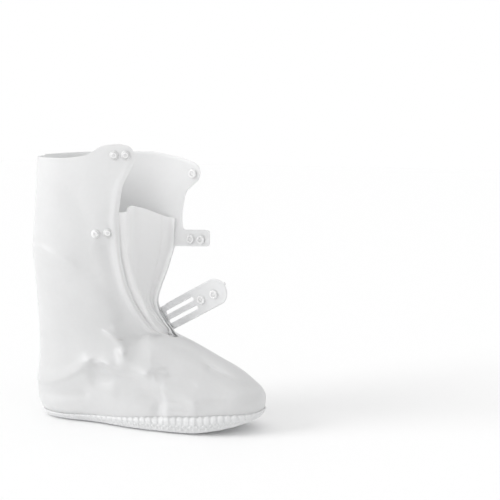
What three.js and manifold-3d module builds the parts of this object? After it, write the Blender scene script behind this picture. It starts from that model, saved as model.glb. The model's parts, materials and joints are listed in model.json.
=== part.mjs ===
/**
 * A waterproof over-boot gaiter of milky film, with a slit front, a folded gusset, a slotted
 * instep strap, resin snaps and a ribbed sole.
 *
 * Millimetres, +Z up, toe along +X. The near panel, with the snap studs, is on the -Y side, and
 * the far panel, with the ear, the tab and the strap, is on the +Y side.
 */
import * as THREE from 'three';
import { mergeVertices } from 'three/addons/utils/BufferGeometryUtils.js';
import Module from 'manifold-3d';

// Driving dimensions.
const GAP = 0.3; // clearance between neighbouring pieces
const FACET_SAG = 0.6; // how far a flat facet of the leg lies inside its true curve
const WALL = 1.4;
const GUSSET_WALL = 1.2;
const STRAP_WALL = 2.2;
const NEAR = -1;
const FAR = 1;

// Level sections of the shell. Each has a back quarter from its widest point to the back, and a
// front quarter to each side; the powers say how square they are, 2 being an ellipse. The waist
// is how far each side draws in between heel and ball.
const SECTIONS = [
  { z: 5, back: -6.5, widest: 176, half: 49, waist: 9, backPower: 2.9, frontPower: 2.3 },
  { z: 14, back: -14, widest: 176, half: 52.5, waist: 8, backPower: 2.9, frontPower: 2.3 },
  { z: 28, back: -19, widest: 172, half: 53.5, waist: 6, backPower: 2.9, frontPower: 2.3 },
  { z: 42, back: -19.6, widest: 160, half: 53, waist: 4, backPower: 2.8, frontPower: 2.2 },
  { z: 54, back: -18.6, widest: 145, half: 52, waist: 2, backPower: 2.7, frontPower: 2.1 },
  { z: 72, back: -16.7, widest: 118, half: 51, waist: 0, backPower: 2.5, frontPower: 2 },
  { z: 87, back: -15.6, widest: 98, half: 51, waist: 0, backPower: 2.4, frontPower: 1.9 },
  { z: 103, back: -13.9, widest: 80, half: 51, waist: 0, backPower: 2.4, frontPower: 1.8 },
  { z: 116, back: -14.5, widest: 68, half: 52, waist: 0, backPower: 2.35, frontPower: 1.75 },
  { z: 135, back: -16.3, widest: 62, half: 52.5, waist: 0, backPower: 2.3, frontPower: 1.75 },
  { z: 155, back: -16.5, widest: 58, half: 53.5, waist: 0, backPower: 2.3, frontPower: 1.85 },
  { z: 185, back: -18.2, widest: 54, half: 55, waist: 0, backPower: 2.3, frontPower: 2 },
  { z: 214, back: -20.7, widest: 52, half: 56, waist: 0, backPower: 2.25, frontPower: 2 },
  { z: 250, back: -17.7, widest: 52, half: 56, waist: 0, backPower: 2.25, frontPower: 2 },
  { z: 290, back: -13.7, widest: 52, half: 56, waist: 0, backPower: 2.25, frontPower: 2 },
  { z: 352, back: -9, widest: 52, half: 56, waist: 0, backPower: 2.25, frontPower: 2 },
];

// How far forward each side's own curve would run if it were closed, by height.
const FRONTS = [
  { z: 5, near: 283, far: 283 },
  { z: 14, near: 287, far: 287 },
  { z: 28, near: 288.5, far: 288.5 },
  { z: 42, near: 285, far: 285 },
  { z: 54, near: 276, far: 276 },
  { z: 72, near: 257, far: 257 },
  { z: 87, near: 230, far: 230 },
  { z: 103, near: 197, far: 197 },
  { z: 116, near: 168, far: 168 },
  { z: 135, near: 160, far: 161 },
  { z: 155, near: 157, far: 166 },
  { z: 185, near: 156, far: 195 },
  { z: 214, near: 155, far: 230 },
  { z: 250, near: 156, far: 243 },
  { z: 290, near: 165, far: 250 },
  { z: 352, near: 182, far: 255 },
];
const WAIST_X = 75; // middle of the waist along the foot
const WAIST_SPREAD = 45;

// Where the slit's two edges lie, by height, from the point of the slit up.
const SLIT_FOOT = 110;
const NEAR_EDGE = [
  { z: SLIT_FOOT, x: 181 },
  { z: 113, x: 168 },
  { z: 118, x: 157 },
  { z: 126, x: 148 },
  { z: 138, x: 140 },
  { z: 160, x: 130.3 },
  { z: 188, x: 122.3 },
  { z: 224, x: 117.2 },
  { z: 261, x: 116 },
  { z: 273, x: 117.3 },
  { z: 300, x: 122 },
  { z: 323, x: 133 },
  { z: 334, x: 136.5 },
  { z: 343, x: 136.5 },
  { z: 352, x: 131 },
];
const FAR_EDGE = [
  { z: SLIT_FOOT, x: 181 },
  { z: 113, x: 171 },
  { z: 118, x: 161 },
  { z: 126, x: 150 },
  { z: 138, x: 138 },
  { z: 150, x: 132 },
  { z: 166, x: 135 },
  { z: 190, x: 142 },
  { z: 214, x: 149 },
  { z: 219, x: 151 },
  { z: 240.5, x: 162.5 },
  { z: 256, x: 161.5 },
  { z: 278, x: 164.5 },
  { z: 289, x: 168 },
  { z: 298, x: 178 },
  { z: 306, x: 186.5 },
  { z: 314, x: 188.5 },
  { z: 321, x: 186.5 },
  { z: 326, x: 181 },
];

// Height of the rim along each side.
const NEAR_RIM = [
  { x: -30, z: 335 },
  { x: 40, z: 334 },
  { x: 78, z: 337.5 },
  { x: 89, z: 344 },
  { x: 100, z: 349.5 },
  { x: 117, z: 351.5 },
  { x: 130, z: 349 },
  { x: 137, z: 342 },
];
const FAR_RIM = [
  { x: -30, z: 335 },
  { x: 22, z: 337.5 },
  { x: 90, z: 339 },
  { x: 113, z: 339 },
  { x: 143, z: 335.5 },
  { x: 174, z: 328.5 },
  { x: 190, z: 322 },
];

// Broad folds of the near side: a ridge, or a hollow where the height is negative, between two
// points, fading out over its width.
const FOLDS = [
  { name: 'hollow beside the edge', x0: 101, z0: 225, x1: 116, z1: 150, width: 10, height: -3 },
  { name: 'ankle hollow', x0: 119, z0: 134, x1: 140, z1: 106, width: 11, height: -4.5 },
  { name: 'ankle crease', x0: 107, z0: 120, x1: 126, z1: 92, width: 7, height: 2.5 },
  { name: 'instep swell', x0: 124, z0: 92, x1: 152, z1: 76, width: 11, height: 3 },
  { name: 'heel ridge', x0: 72, z0: 83, x1: 122, z1: 80, width: 8, height: 3 },
  { name: 'heel hollow', x0: 84, z0: 62, x1: 128, z1: 57, width: 12, height: -4.5 },
  { name: 'waist hollow', x0: 146, z0: 52, x1: 168, z1: 36, width: 11, height: -4.5 },
  { name: 'side ridge', x0: 158, z0: 73, x1: 222, z1: 42, width: 10, height: 3 },
  { name: 'leg swell', x0: 0, z0: 216, x1: 50, z1: 206, width: 14, height: 2 },
];

// Rows of the shell, by height up to the rim band, then by the share of the rim band.
const SHELL_BOTTOM = 5.3;
const RIM_BAND_FOOT = 300;
const TAB_LOW = 219;
const TAB_HIGH = 240.5;
const TAB_ROUND = 3;
const TAB_END = 203;
const TAB_TILT = 0.045; // rise for each unit forward
const TAB_STEPS = 3; // columns from its root to its end
const TAB_INSETS = [0, TAB_ROUND / 3, TAB_ROUND];
const TAB_ROWS = [
  ...TAB_INSETS.map((inset) => TAB_LOW + inset),
  ...TAB_INSETS.map((inset) => TAB_HIGH - inset).reverse(),
];
const TAB_RUN_SHARE = 0.015; // share of a section that gives the tab its direction
const FOOT_ROWS = [SHELL_BOTTOM, 12, 20, 30, 41, 52, 63, 74, 84, 93, 102, SLIT_FOOT];
const SLIT_ROWS = [113, 118, 126, 136, 148, 161, 175, 190, 205];
const PANEL_ROWS = [250, 261, 272, 282, 291, RIM_BAND_FOOT];
const RIM_SHARES = [0.3, 0.55, 0.78, 0.93, 1];
const SHELL_COLUMNS = 38;
const COLUMN_EASE = 0.35; // how much closer the columns lie beside the slit than at the back
const OUTLINE_STEPS = 60;
const SETTLE_PASSES = 6; // rounds in which a point's height settles on a rim that slopes
const MERGE_DISTANCE = 1e-4;

// Toe spring: how the sole and the lower shell lift ahead of the ball.
const SPRING_START = 205;
const SPRING_END = 296;
const SPRING_RISE = 21;
const SPRING_POWER = 1.6;
const SPRING_FADE = 95; // height at which the lift has faded out

// Sole.
const LUG_DEPTH = 2;
const PLATE_TOP = 5;
const BAND_WALL = 1.8;
const EDGE_ROUND = 3;
const BAND_EASE = 0.4; // more room between the band and the flat facets of the shell
const BAND_OUTSIDE = [0, 0.45, 0.88]; // levels of the band's ribbed outside, as shares of its height
const BAND_INSIDE = [1, 0.72, 0.45, 0.2, 0]; // levels of its inside, in the same shares
const BAND_TOP_SETBACK = 0.4; // how far its top edge is set in from its outside
const RIB_HEIGHT = 1.2;
const RIB_COUNT = 84;
const BAND_HEIGHT = [
  { x: -30, z: 9 },
  { x: 30, z: 9.5 },
  { x: 60, z: 11 },
  { x: 115, z: 15 },
  { x: 157, z: 19.5 },
  { x: 213, z: 24.5 },
  { x: 240, z: 24 },
  { x: 262, z: 19.5 },
  { x: 280, z: 14 },
  { x: 295, z: 9.5 },
];
const LUG_ROOT = 1; // how far a tread block runs up into the plate
const LUG_PITCH = 15;
const LUG_LENGTH = 8;
const LUG_FIRST = 12;
const LUG_LAST = 272;
const LUG_MARGIN = 7;
const LUG_SPLIT = 3;
const PAD = { x0: 92, x1: 128, half: 24 }; // plain flat pad under the waist

// Folded gusset, by height: its rolled lip and its valley.
const GUSSET_ROWS = [
  { z: 117, lipX: 160, lipY: -11, valleyX: 153, valleyY: 0 },
  { z: 121, lipX: 155, lipY: -14, valleyX: 147, valleyY: 1 },
  { z: 128, lipX: 149, lipY: -19, valleyX: 137, valleyY: 3 },
  { z: 140, lipX: 144, lipY: -24, valleyX: 124, valleyY: 5 },
  { z: 160, lipX: 138, lipY: -29, valleyX: 113, valleyY: 8 },
  { z: 188, lipX: 129, lipY: -36, valleyX: 106, valleyY: 11 },
  { z: 214, lipX: 122, lipY: -38.5, valleyX: 105, valleyY: 14 },
  { z: 240, lipX: 120, lipY: -38.5, valleyX: 107, valleyY: 13 },
  { z: 275, lipX: 121, lipY: -38.5, valleyX: 111, valleyY: 10 },
];
const GUSSET_SETBACK = [
  { z: 114, back: 4 },
  { z: 205, back: 2.5 },
  { z: 225, back: 9 },
  { z: 275, back: 9 },
];
const GUSSET_TOP_NEAR = 270;
const GUSSET_TOP_FAR = 254;
const GUSSET_FOOT = 117;
const GUSSET_NEAR_LAP = 3; // how far it laps behind each panel
const GUSSET_FAR_LAP = 8;
const GUSSET_LAP_DIP = 0.6; // how much deeper the sheet lies where it leaves the near panel
const GUSSET_FAR_DIP = 1; // and where it reaches the far panel
const GUSSET_BOW = 3; // how far the side of the fold bows back
const GUSSET_FALL_START = 0.45; // share across it at which the top edge starts to fall
const GUSSET_LEVELS = 12;
const GUSSET_COLUMNS = 18;

// Slotted strap.
const STRAP_WIDTH = 34;
const STRAP_FREE = 102; // from its root to its round end
const STRAP_LAP = 14; // welded to the outside of the far panel
const STRAP_BEND = 14; // over which it leaves the panel's curve
const STRAP_ROOT = { x: 148, z: 128.5 };
const STRAP_RISE = 28.6; // degrees above level
const STRAP_DRIFT = -0.2; // sideways run for each unit forward
const SLOT_WIDTH = 4.6;
const SLOT_OFFSET = 6;
const SLOT_START = 2;
const SLOT_END = 51;
const SLOT_SEGMENTS = 4; // in each round quarter of a slot's end
const NIB = { root: 2, reach: 2.4, width: 3.4, turn: 12 }; // turn in degrees from the strap's axis
const STRAP_ROWS = [-STRAP_LAP, -9, -4, 0, 4, 8, STRAP_BEND, 32, 50, 68]; // distances from its root
const STRAP_ROUND_STEPS = 8;
const STRAP_TIP_HALF = 0.32; // half-width of the last row, at the round end's tip
const STRAP_TOOL_REACH = 12;
const STRAP_COLUMNS = 6;

// Snaps.
const SNAP_SIDES = 12;
const POST_RADIUS = 2;
const POST_RECESS = 0.2; // how far a post's end lies below the base of its mate
const HOLE_RADIUS = 2.35;
const HOLE_TOOL_LENGTH = 16;
const MATE_BASE = 1.2; // thickness of a socket's or a stud's flange

// Half profiles of the snaps' pieces, from the wall outwards.
const CAP_PROFILE = [
  { radius: 5.9, height: 0 },
  { radius: 6.2, height: 0.9 },
  { radius: 4.96, height: 2 },
  { radius: 2.8, height: 2.65 },
  { radius: 0, height: 2.9 },
];
const SOCKET_PROFILE = [
  { radius: 5.6, height: 0 },
  { radius: 5.6, height: MATE_BASE },
  { radius: 5, height: 2.7 },
  { radius: 4.4, height: 3 },
  { radius: 3.4, height: 3 },
  { radius: 3.1, height: MATE_BASE },
];
const STUD_PROFILE = [
  { radius: 5.6, height: 0 },
  { radius: 5.4, height: MATE_BASE },
  { radius: 3.3, height: 1.4 },
  { radius: 3.4, height: 2.7 },
  { radius: 3.1, height: 3.2 },
];

// Where the snaps sit: on the panels, on the tab, and along and across the strap.
const WALL_SNAPS = [
  { name: 'near_top_1', side: NEAR, x: 113.5, z: 338.2, mate: 'stud' },
  { name: 'near_top_2', side: NEAR, x: 127, z: 338.4, mate: 'stud' },
  { name: 'near_mid_1', side: NEAR, x: 88.5, z: 242.3, mate: 'stud' },
  { name: 'near_mid_2', side: NEAR, x: 103.5, z: 243.6, mate: 'stud' },
  { name: 'ear', side: FAR, x: 178.2, z: 312.4, mate: 'socket' },
];
const TAB_SNAPS = [
  { name: 'tab_1', x: 175, z: 229 },
  { name: 'tab_2', x: 190.5, z: 229.3 },
];
const STRAP_SNAPS = [
  { name: 'strap_1', along: 61, across: 0 },
  { name: 'strap_2', along: 82, across: -1.5 },
];

const wasm = await Module();
wasm.setup();

/** A monotone cubic through one column of a table, as a function of its key column. */
function smoothColumn(rows, key, column) {
  const at = rows.map((row) => row[key]);
  const value = rows.map((row) => row[column]);
  const secant = value.slice(1).map((v, i) => (v - value[i]) / (at[i + 1] - at[i]));
  const slope = value.map((_, i) => {
    if (i === 0) return secant[0];
    if (i === secant.length) return secant[i - 1];
    const [before, after] = [secant[i - 1], secant[i]];
    return before * after <= 0 ? 0 : (2 * before * after) / (before + after);
  });
  return (where) => {
    const inside = THREE.MathUtils.clamp(where, at[0], at[at.length - 1]);
    const i = Math.max(0, at.findLastIndex((a, k) => a <= inside && k < secant.length));
    const step = at[i + 1] - at[i];
    const t = (inside - at[i]) / step;
    const rise = t * t * (3 - 2 * t);
    const startBend = t * (1 - t) * (1 - t) * step * slope[i];
    const endBend = t * t * (1 - t) * step * slope[i + 1];
    return value[i] + rise * (value[i + 1] - value[i]) + startBend - endBend;
  };
}

/** All the columns of a table but its key, as one function that gives a row. */
function smoothTable(rows, key) {
  const columns = Object.keys(rows[0]).filter((name) => name !== key);
  const curves = columns.map((name) => [name, smoothColumn(rows, key, name)]);
  return (where) => Object.fromEntries(curves.map(([name, curve]) => [name, curve(where)]));
}

const sectionAt = smoothTable(SECTIONS, 'z');
const nearFrontAt = smoothColumn(FRONTS, 'z', 'near');
const farFrontAt = smoothColumn(FRONTS, 'z', 'far');
const nearEdgeAt = smoothColumn(NEAR_EDGE, 'z', 'x');
const farEdgeAt = smoothColumn(FAR_EDGE, 'z', 'x');
const nearRimAt = smoothColumn(NEAR_RIM, 'x', 'z');
const farRimAt = smoothColumn(FAR_RIM, 'x', 'z');
const bandHeightAt = smoothColumn(BAND_HEIGHT, 'x', 'z');
const gussetFoldAt = smoothTable(GUSSET_ROWS, 'z');
const gussetSetbackAt = smoothColumn(GUSSET_SETBACK, 'z', 'back');

/** Where a panel's edge lies at a height: below the slit, both panels run to the front. */
function edgeAt(side, z) {
  if (z <= SLIT_FOOT) return frontAt(side, z);
  return side === NEAR ? nearEdgeAt(z) : farEdgeAt(z);
}

/** The front of one side's own curve at a height. */
function frontAt(side, z) {
  return side === NEAR ? nearFrontAt(z) : farFrontAt(z);
}

/** Half-width of one side at a place, before folds. */
function halfWidth(side, x, z) {
  const section = sectionAt(z);
  const ahead = x > section.widest;
  const reach = ahead ? frontAt(side, z) - section.widest : section.widest - section.back;
  const power = ahead ? section.frontPower : section.backPower;
  const share = Math.min(1, Math.abs(x - section.widest) / reach);
  return section.half * (1 - share ** power) ** (1 / power) - waistAt(section, x);
}

/** How far a side draws in at the waist. */
function waistAt(section, x) {
  return section.waist * Math.exp(-(((x - WAIST_X) / WAIST_SPREAD) ** 2));
}

/** How far the folds push a place of the near side outwards. */
function foldAt(x, z) {
  let push = 0;
  for (const fold of FOLDS) {
    const [runX, runZ] = [fold.x1 - fold.x0, fold.z1 - fold.z0];
    const along = ((x - fold.x0) * runX + (z - fold.z0) * runZ) / (runX * runX + runZ * runZ);
    const t = THREE.MathUtils.clamp(along, 0, 1);
    const away = Math.hypot(x - fold.x0 - t * runX, z - fold.z0 - t * runZ) / fold.width;
    push += fold.height * Math.exp(-away * away);
  }
  return push;
}

/** Lift of the toe spring at a place. */
function springLift(x, z) {
  const share = Math.max(0, (x - SPRING_START) / (SPRING_END - SPRING_START));
  return SPRING_RISE * share ** SPRING_POWER * Math.max(0, 1 - z / SPRING_FADE);
}

/** A point in the lifted model, from its place before the toe spring. */
function lifted(x, y, z) {
  return new THREE.Vector3(x, y, z + springLift(x, z));
}

/** One front quarter of a level section, from the panel's edge to the widest point. */
function frontQuarter(side, z) {
  const section = sectionAt(z);
  const reach = frontAt(side, z) - section.widest;
  const share = Math.min(1, (edgeAt(side, z) - section.widest) / reach);
  const start = Math.acos(share ** (section.frontPower / 2));
  return Array.from({ length: OUTLINE_STEPS }, (_, i) => {
    const angle = THREE.MathUtils.lerp(start, Math.PI / 2, i / OUTLINE_STEPS);
    const x = section.widest + reach * Math.cos(angle) ** (2 / section.frontPower);
    const y = section.half * Math.sin(angle) ** (2 / section.frontPower) - waistAt(section, x);
    return new THREE.Vector2(x, side * y);
  });
}

/** One back quarter of a level section, from the widest point to the back. */
function backQuarter(side, z) {
  const section = sectionAt(z);
  const reach = section.widest - section.back;
  return Array.from({ length: OUTLINE_STEPS }, (_, i) => {
    const angle = (Math.PI / 2) * (i / OUTLINE_STEPS);
    const x = section.widest - reach * Math.sin(angle) ** (2 / section.backPower);
    const y = section.half * Math.cos(angle) ** (2 / section.backPower) - waistAt(section, x);
    return new THREE.Vector2(x, side * y);
  });
}

/** A level section from the near edge round the back to the far edge. */
function outlineAt(z) {
  const section = sectionAt(z);
  const heel = new THREE.Vector2(section.back, 0);
  const nearSide = [...frontQuarter(NEAR, z), ...backQuarter(NEAR, z)];
  const farSide = [...frontQuarter(FAR, z), ...backQuarter(FAR, z)];
  return [...nearSide, heel, ...farSide.reverse()];
}

/** Points along a polyline at the given shares of its length, each with its outward normal. */
function resample(outline, shares) {
  const reach = [0];
  for (let i = 1; i < outline.length; i += 1) {
    reach.push(reach[i - 1] + outline[i].distanceTo(outline[i - 1]));
  }
  const total = reach[reach.length - 1];
  return shares.map((share) => {
    const target = share * total;
    const i = Math.max(0, reach.findLastIndex((r, k) => r <= target && k < outline.length - 1));
    const t = (target - reach[i]) / (reach[i + 1] - reach[i]);
    const run = outline[i + 1].clone().sub(outline[i]).normalize();
    return {
      point: outline[i].clone().lerp(outline[i + 1], t),
      normal: new THREE.Vector2(run.y, -run.x).negate(),
    };
  });
}

const COLUMN_SHARES = Array.from({ length: SHELL_COLUMNS + 1 }, (_, j) => {
  const t = j / SHELL_COLUMNS;
  return t - (COLUMN_EASE * Math.sin(2 * Math.PI * t)) / (2 * Math.PI);
});

/** A closed solid from triangles that share vertices, as a geometry. */
function solidGeometry(points, faces) {
  const geometry = new THREE.BufferGeometry();
  const numbers = points.flatMap((p) => [p.x, p.y, p.z]);
  geometry.setAttribute('position', new THREE.Float32BufferAttribute(numbers, 3));
  geometry.setIndex(faces.flat());
  return geometry;
}

/** The two triangles of a quad, cut along its shorter diagonal. */
function quadFaces(points, a, b, c, d) {
  const cutAC = points[a].distanceTo(points[c]) <= points[b].distanceTo(points[d]);
  const pair = cutAC ? [[a, b, c], [a, c, d]] : [[a, b, d], [b, c, d]];
  return pair.filter(([p, q, r]) => p !== q && q !== r && r !== p);
}

/** The faces of a grid of points, given its steps up and across. */
function gridFaces(points, up, across) {
  const faces = [];
  const width = across + 1;
  for (let i = 0; i < up; i += 1) {
    for (let j = 0; j < across; j += 1) {
      const corner = i * width + j;
      faces.push(...quadFaces(points, corner, corner + 1, corner + width + 1, corner + width));
    }
  }
  return faces;
}

/** A sheet made into a closed wall: its face, a face set back by the wall, and its edges. */
function thicken(points, faces, wall) {
  const normals = points.map(() => new THREE.Vector3());
  const triangle = new THREE.Triangle();
  const facing = new THREE.Vector3();
  const edges = new Set();
  for (const [a, b, c] of faces) {
    triangle.set(points[a], points[b], points[c]);
    triangle.getNormal(facing).multiplyScalar(triangle.getArea());
    for (const corner of [a, b, c]) {
      normals[corner].add(facing);
    }
    for (const [p, q] of [[a, b], [b, c], [c, a]]) {
      edges.add(`${p},${q}`);
    }
  }
  const count = points.length;
  const inner = points.map((p, i) => p.clone().addScaledVector(normals[i].normalize(), -wall));
  const walls = [];
  for (const edge of edges) {
    const [p, q] = edge.split(',').map(Number);
    if (edges.has(`${q},${p}`)) continue;
    walls.push([q, p, p + count], [q, p + count, q + count]);
  }
  const back = faces.map(([a, b, c]) => [a + count, c + count, b + count]);
  return solidGeometry([...points, ...inner], [...faces, ...back, ...walls]);
}

/** A geometry as a manifold solid. */
function toSolid(geometry) {
  const bare = geometry.clone();
  bare.deleteAttribute('normal');
  bare.deleteAttribute('uv');
  const merged = mergeVertices(bare, MERGE_DISTANCE);
  const vertProperties = new Float32Array(merged.attributes.position.array);
  const triVerts = new Uint32Array(merged.index.array);
  return new wasm.Manifold(new wasm.Mesh({ numProp: 3, vertProperties, triVerts }));
}

/** A manifold solid as a geometry. */
function fromSolid(solid) {
  const mesh = solid.getMesh();
  const geometry = new THREE.BufferGeometry();
  geometry.setAttribute('position', new THREE.BufferAttribute(mesh.vertProperties, 3));
  geometry.setIndex(new THREE.BufferAttribute(mesh.triVerts, 1));
  return geometry;
}

/** The shell's face: rows from the sole to the rim, joined at the front below the slit. */
function shellSheet() {
  const points = [];
  const faces = [];
  const levels = [...FOOT_ROWS, ...SLIT_ROWS, ...TAB_ROWS, ...PANEL_ROWS];
  const heights = [
    ...levels.map((z) => ({ z, share: 0 })),
    ...RIM_SHARES.map((share) => ({ z: RIM_BAND_FOOT, share })),
  ];
  const closed = FOOT_ROWS.length;
  const index = (i, j) => i * (SHELL_COLUMNS + 1) + (j === SHELL_COLUMNS && i < closed ? 0 : j);
  heights.forEach(({ z, share }) => {
    COLUMN_SHARES.forEach((t) => {
      points.push(share > 0 ? rimBandPoint(share, t) : shellPoint(z, t));
    });
  });
  for (let i = 0; i < heights.length - 1; i += 1) {
    for (let j = 0; j < SHELL_COLUMNS; j += 1) {
      const corners = [index(i, j), index(i + 1, j), index(i + 1, j + 1), index(i, j + 1)];
      faces.push(...quadFaces(points, ...corners));
    }
  }
  const tabFoot = FOOT_ROWS.length + SLIT_ROWS.length;
  addTab(points, faces, (row) => index(tabFoot + row, SHELL_COLUMNS));
  return { points, faces };
}

/** A point of the shell at a height and a share of its section. */
function shellPoint(z, t) {
  const { point, normal } = resample(outlineAt(z), [t])[0];
  const push = point.y < 0 ? foldAt(point.x, z) * Math.abs(normal.y) : 0;
  return lifted(point.x + push * normal.x, point.y + push * normal.y, z);
}

/** A point of the rim band, whose height follows the rim above it. */
function rimBandPoint(share, t) {
  let z = RIM_BAND_FOOT + share * (NEAR_RIM[0].z - RIM_BAND_FOOT);
  for (let pass = 0; pass < SETTLE_PASSES; pass += 1) {
    const { point } = resample(outlineAt(z), [t])[0];
    const rim = point.y < 0 ? nearRimAt(point.x) : farRimAt(point.x);
    z = RIM_BAND_FOOT + share * (rim - RIM_BAND_FOOT);
  }
  return shellPoint(z, t);
}

/** Direction in which the far panel runs at its edge, level. */
function farRunAt(z) {
  const [end, before] = resample(outlineAt(z), [1, 1 - TAB_RUN_SHARE]).map(({ point }) => point);
  const run = end.sub(before).normalize();
  return new THREE.Vector3(run.x, run.y, 0);
}

/** The short tab that runs on from the far panel's edge, with rounded corners. */
function addTab(points, faces, edgeIndex) {
  const steps = Array.from({ length: TAB_STEPS }, (_, k) => (k + 1) / TAB_STEPS);
  const run = farRunAt((TAB_LOW + TAB_HIGH) / 2);
  const rows = TAB_ROWS.map((z, i) => {
    const root = points[edgeIndex(i)];
    const depth = Math.min(TAB_ROUND, z - TAB_LOW, TAB_HIGH - z);
    const corner = TAB_ROUND - Math.sqrt(TAB_ROUND ** 2 - (TAB_ROUND - depth) ** 2);
    const length = (TAB_END - corner - root.x) / run.x;
    const outward = steps.map((step) => {
      const rise = TAB_TILT * step * length;
      points.push(root.clone().addScaledVector(run, step * length).setZ(z + rise));
      return points.length - 1;
    });
    return [edgeIndex(i), ...outward];
  });
  for (let i = 0; i < rows.length - 1; i += 1) {
    for (let j = 0; j < steps.length; j += 1) {
      const corners = [rows[i][j], rows[i + 1][j], rows[i + 1][j + 1], rows[i][j + 1]];
      faces.push(...quadFaces(points, ...corners));
    }
  }
}

/** A place on the outside of the shell with the direction out of it. */
function wallPlace(side, x, z) {
  const spot = (px, pz) => {
    const push = side === NEAR ? foldAt(px, pz) : 0;
    return lifted(px, side * (halfWidth(side, px, pz) + push), pz);
  };
  const point = spot(x, z);
  const forward = spot(x + 1, z).sub(spot(x - 1, z));
  const upward = spot(x, z + 1).sub(spot(x, z - 1));
  const normal = side === NEAR ? forward.cross(upward) : upward.cross(forward);
  return { point, normal: normal.normalize() };
}

/** A place on the tab with the direction out of its far side. */
function tabPlace(x, z) {
  const level = (TAB_LOW + TAB_HIGH) / 2;
  const run = farRunAt(level);
  const root = shellPoint(level, 1);
  const point = root.addScaledVector(run, (x - root.x) / run.x);
  return { point: point.setZ(z), normal: new THREE.Vector3(-run.y, run.x, 0) };
}

/** Turns and moves a geometry so that its +Z leaves a place along the normal. */
function placed(geometry, { point, normal }) {
  const turn = new THREE.Quaternion().setFromUnitVectors(new THREE.Vector3(0, 0, 1), normal);
  const size = new THREE.Vector3(1, 1, 1);
  return geometry.clone().applyMatrix4(new THREE.Matrix4().compose(point, turn, size));
}

/** A round hole tool through a wall at a place. */
function holeTool(place) {
  const tool = new THREE.CylinderGeometry(HOLE_RADIUS, HOLE_RADIUS, HOLE_TOOL_LENGTH, SNAP_SIDES);
  return toSolid(placed(tool.rotateX(Math.PI / 2), place));
}

/** A round solid from its half profile. */
function turned(profile) {
  const points = profile.map(({ radius, height }) => new THREE.Vector2(radius, height));
  return new THREE.LatheGeometry(points, SNAP_SIDES).rotateX(Math.PI / 2);
}

/** A snap cap with its post, whose underside rests on the wall and whose dome faces +Z. */
function capGeometry(reach) {
  return turned([
    { radius: 0, height: -reach },
    { radius: POST_RADIUS, height: -reach },
    { radius: POST_RADIUS, height: 0 },
    ...CAP_PROFILE,
  ]);
}

/** A snap socket or stud: a ring whose bore takes the cap's post. */
function mateGeometry(profile) {
  const radius = POST_RADIUS + GAP;
  const { height } = profile[profile.length - 1];
  return turned([{ radius, height: 0 }, ...profile, { radius, height }, { radius, height: 0 }]);
}

/** A closed ring round the shell, at a height for each place along the foot, set out from it. */
function soleRing(heightAt, outAt) {
  const count = 2 * RIB_COUNT;
  return Array.from({ length: count }, (_, k) => {
    let z = heightAt(WAIST_X);
    for (let pass = 0; pass < SETTLE_PASSES; pass += 1) {
      z = heightAt(resample(outlineAt(z), [k / count])[0].point.x);
    }
    const { point, normal } = resample(outlineAt(z), [k / count])[0];
    return new THREE.Vector3(point.x + outAt(k) * normal.x, point.y + outAt(k) * normal.y, z);
  });
}

/** The sole's tray: plate, rounded edge, ribbed band and the inside that takes the shell. */
function trayGeometry() {
  const outside = GAP + BAND_WALL;
  const bandAt = (share) => (x) => THREE.MathUtils.lerp(PLATE_TOP, bandHeightAt(x), share);
  const ribbed = (k) => outside + (k % 2 ? RIB_HEIGHT : 0);
  const rings = [
    soleRing(() => LUG_DEPTH, () => outside - EDGE_ROUND),
    ...BAND_OUTSIDE.map((share) => soleRing(bandAt(share), ribbed)),
    soleRing(bandAt(1), () => outside - BAND_TOP_SETBACK),
    ...BAND_INSIDE.map((share) => soleRing(bandAt(share), () => GAP + BAND_EASE)),
  ];
  const count = rings[0].length;
  const points = rings.flat().map((p) => lifted(p.x, p.y, p.z));
  const faces = [];
  for (let r = 0; r < rings.length - 1; r += 1) {
    for (let k = 0; k < count; k += 1) {
      const next = (k + 1) % count;
      const [low, high] = [r * count, (r + 1) * count];
      const corners = [low + k, high + k, high + next, low + next];
      faces.push(...quadFaces(points, ...corners));
    }
  }
  faces.push(...ladder(points, 0, count, false));
  faces.push(...ladder(points, (rings.length - 1) * count, count, true));
  return solidGeometry(points, faces);
}

/** Faces across a ring from side to side, like the rungs of a ladder. */
function ladder(points, first, count, upward) {
  const faces = [];
  for (let k = 0; k < count / 2; k += 1) {
    const [a, b] = [first + k, first + k + 1];
    const [c, d] = [first + ((count - k - 1) % count), first + ((count - k) % count)];
    faces.push(...quadFaces(points, a, b, c, d));
  }
  return upward ? faces.map(([a, b, c]) => [a, c, b]) : faces;
}

/** A block of the tread between two distances along the foot and two across it. */
function treadBlock(x0, x1, y0, y1) {
  const height = LUG_DEPTH + LUG_ROOT;
  const block = new THREE.BoxGeometry(x1 - x0, y1 - y0, height);
  block.translate((x0 + x1) / 2, (y0 + y1) / 2, height / 2);
  const place = block.attributes.position;
  for (let i = 0; i < place.count; i += 1) {
    place.setZ(i, place.getZ(i) + springLift(place.getX(i), place.getZ(i)));
  }
  return toSolid(block);
}

/** The tread: rows of blocks across the foot, and a plain flat pad under the waist. */
function tread() {
  const blocks = [treadBlock(PAD.x0, PAD.x1, -PAD.half, PAD.half)];
  for (let x = LUG_FIRST; x <= LUG_LAST; x += LUG_PITCH) {
    const under = x + LUG_LENGTH > PAD.x0 && x < PAD.x1;
    const inner = under ? PAD.half + LUG_SPLIT : LUG_SPLIT / 2;
    const ends = [x, x + LUG_LENGTH];
    const outer = Math.min(...ends.map((end) => halfWidth(FAR, end, PLATE_TOP))) - LUG_MARGIN;
    if (outer - inner >= LUG_LENGTH) {
      blocks.push(treadBlock(...ends, inner, outer));
      blocks.push(treadBlock(...ends, -outer, -inner));
    }
  }
  return blocks;
}

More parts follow.
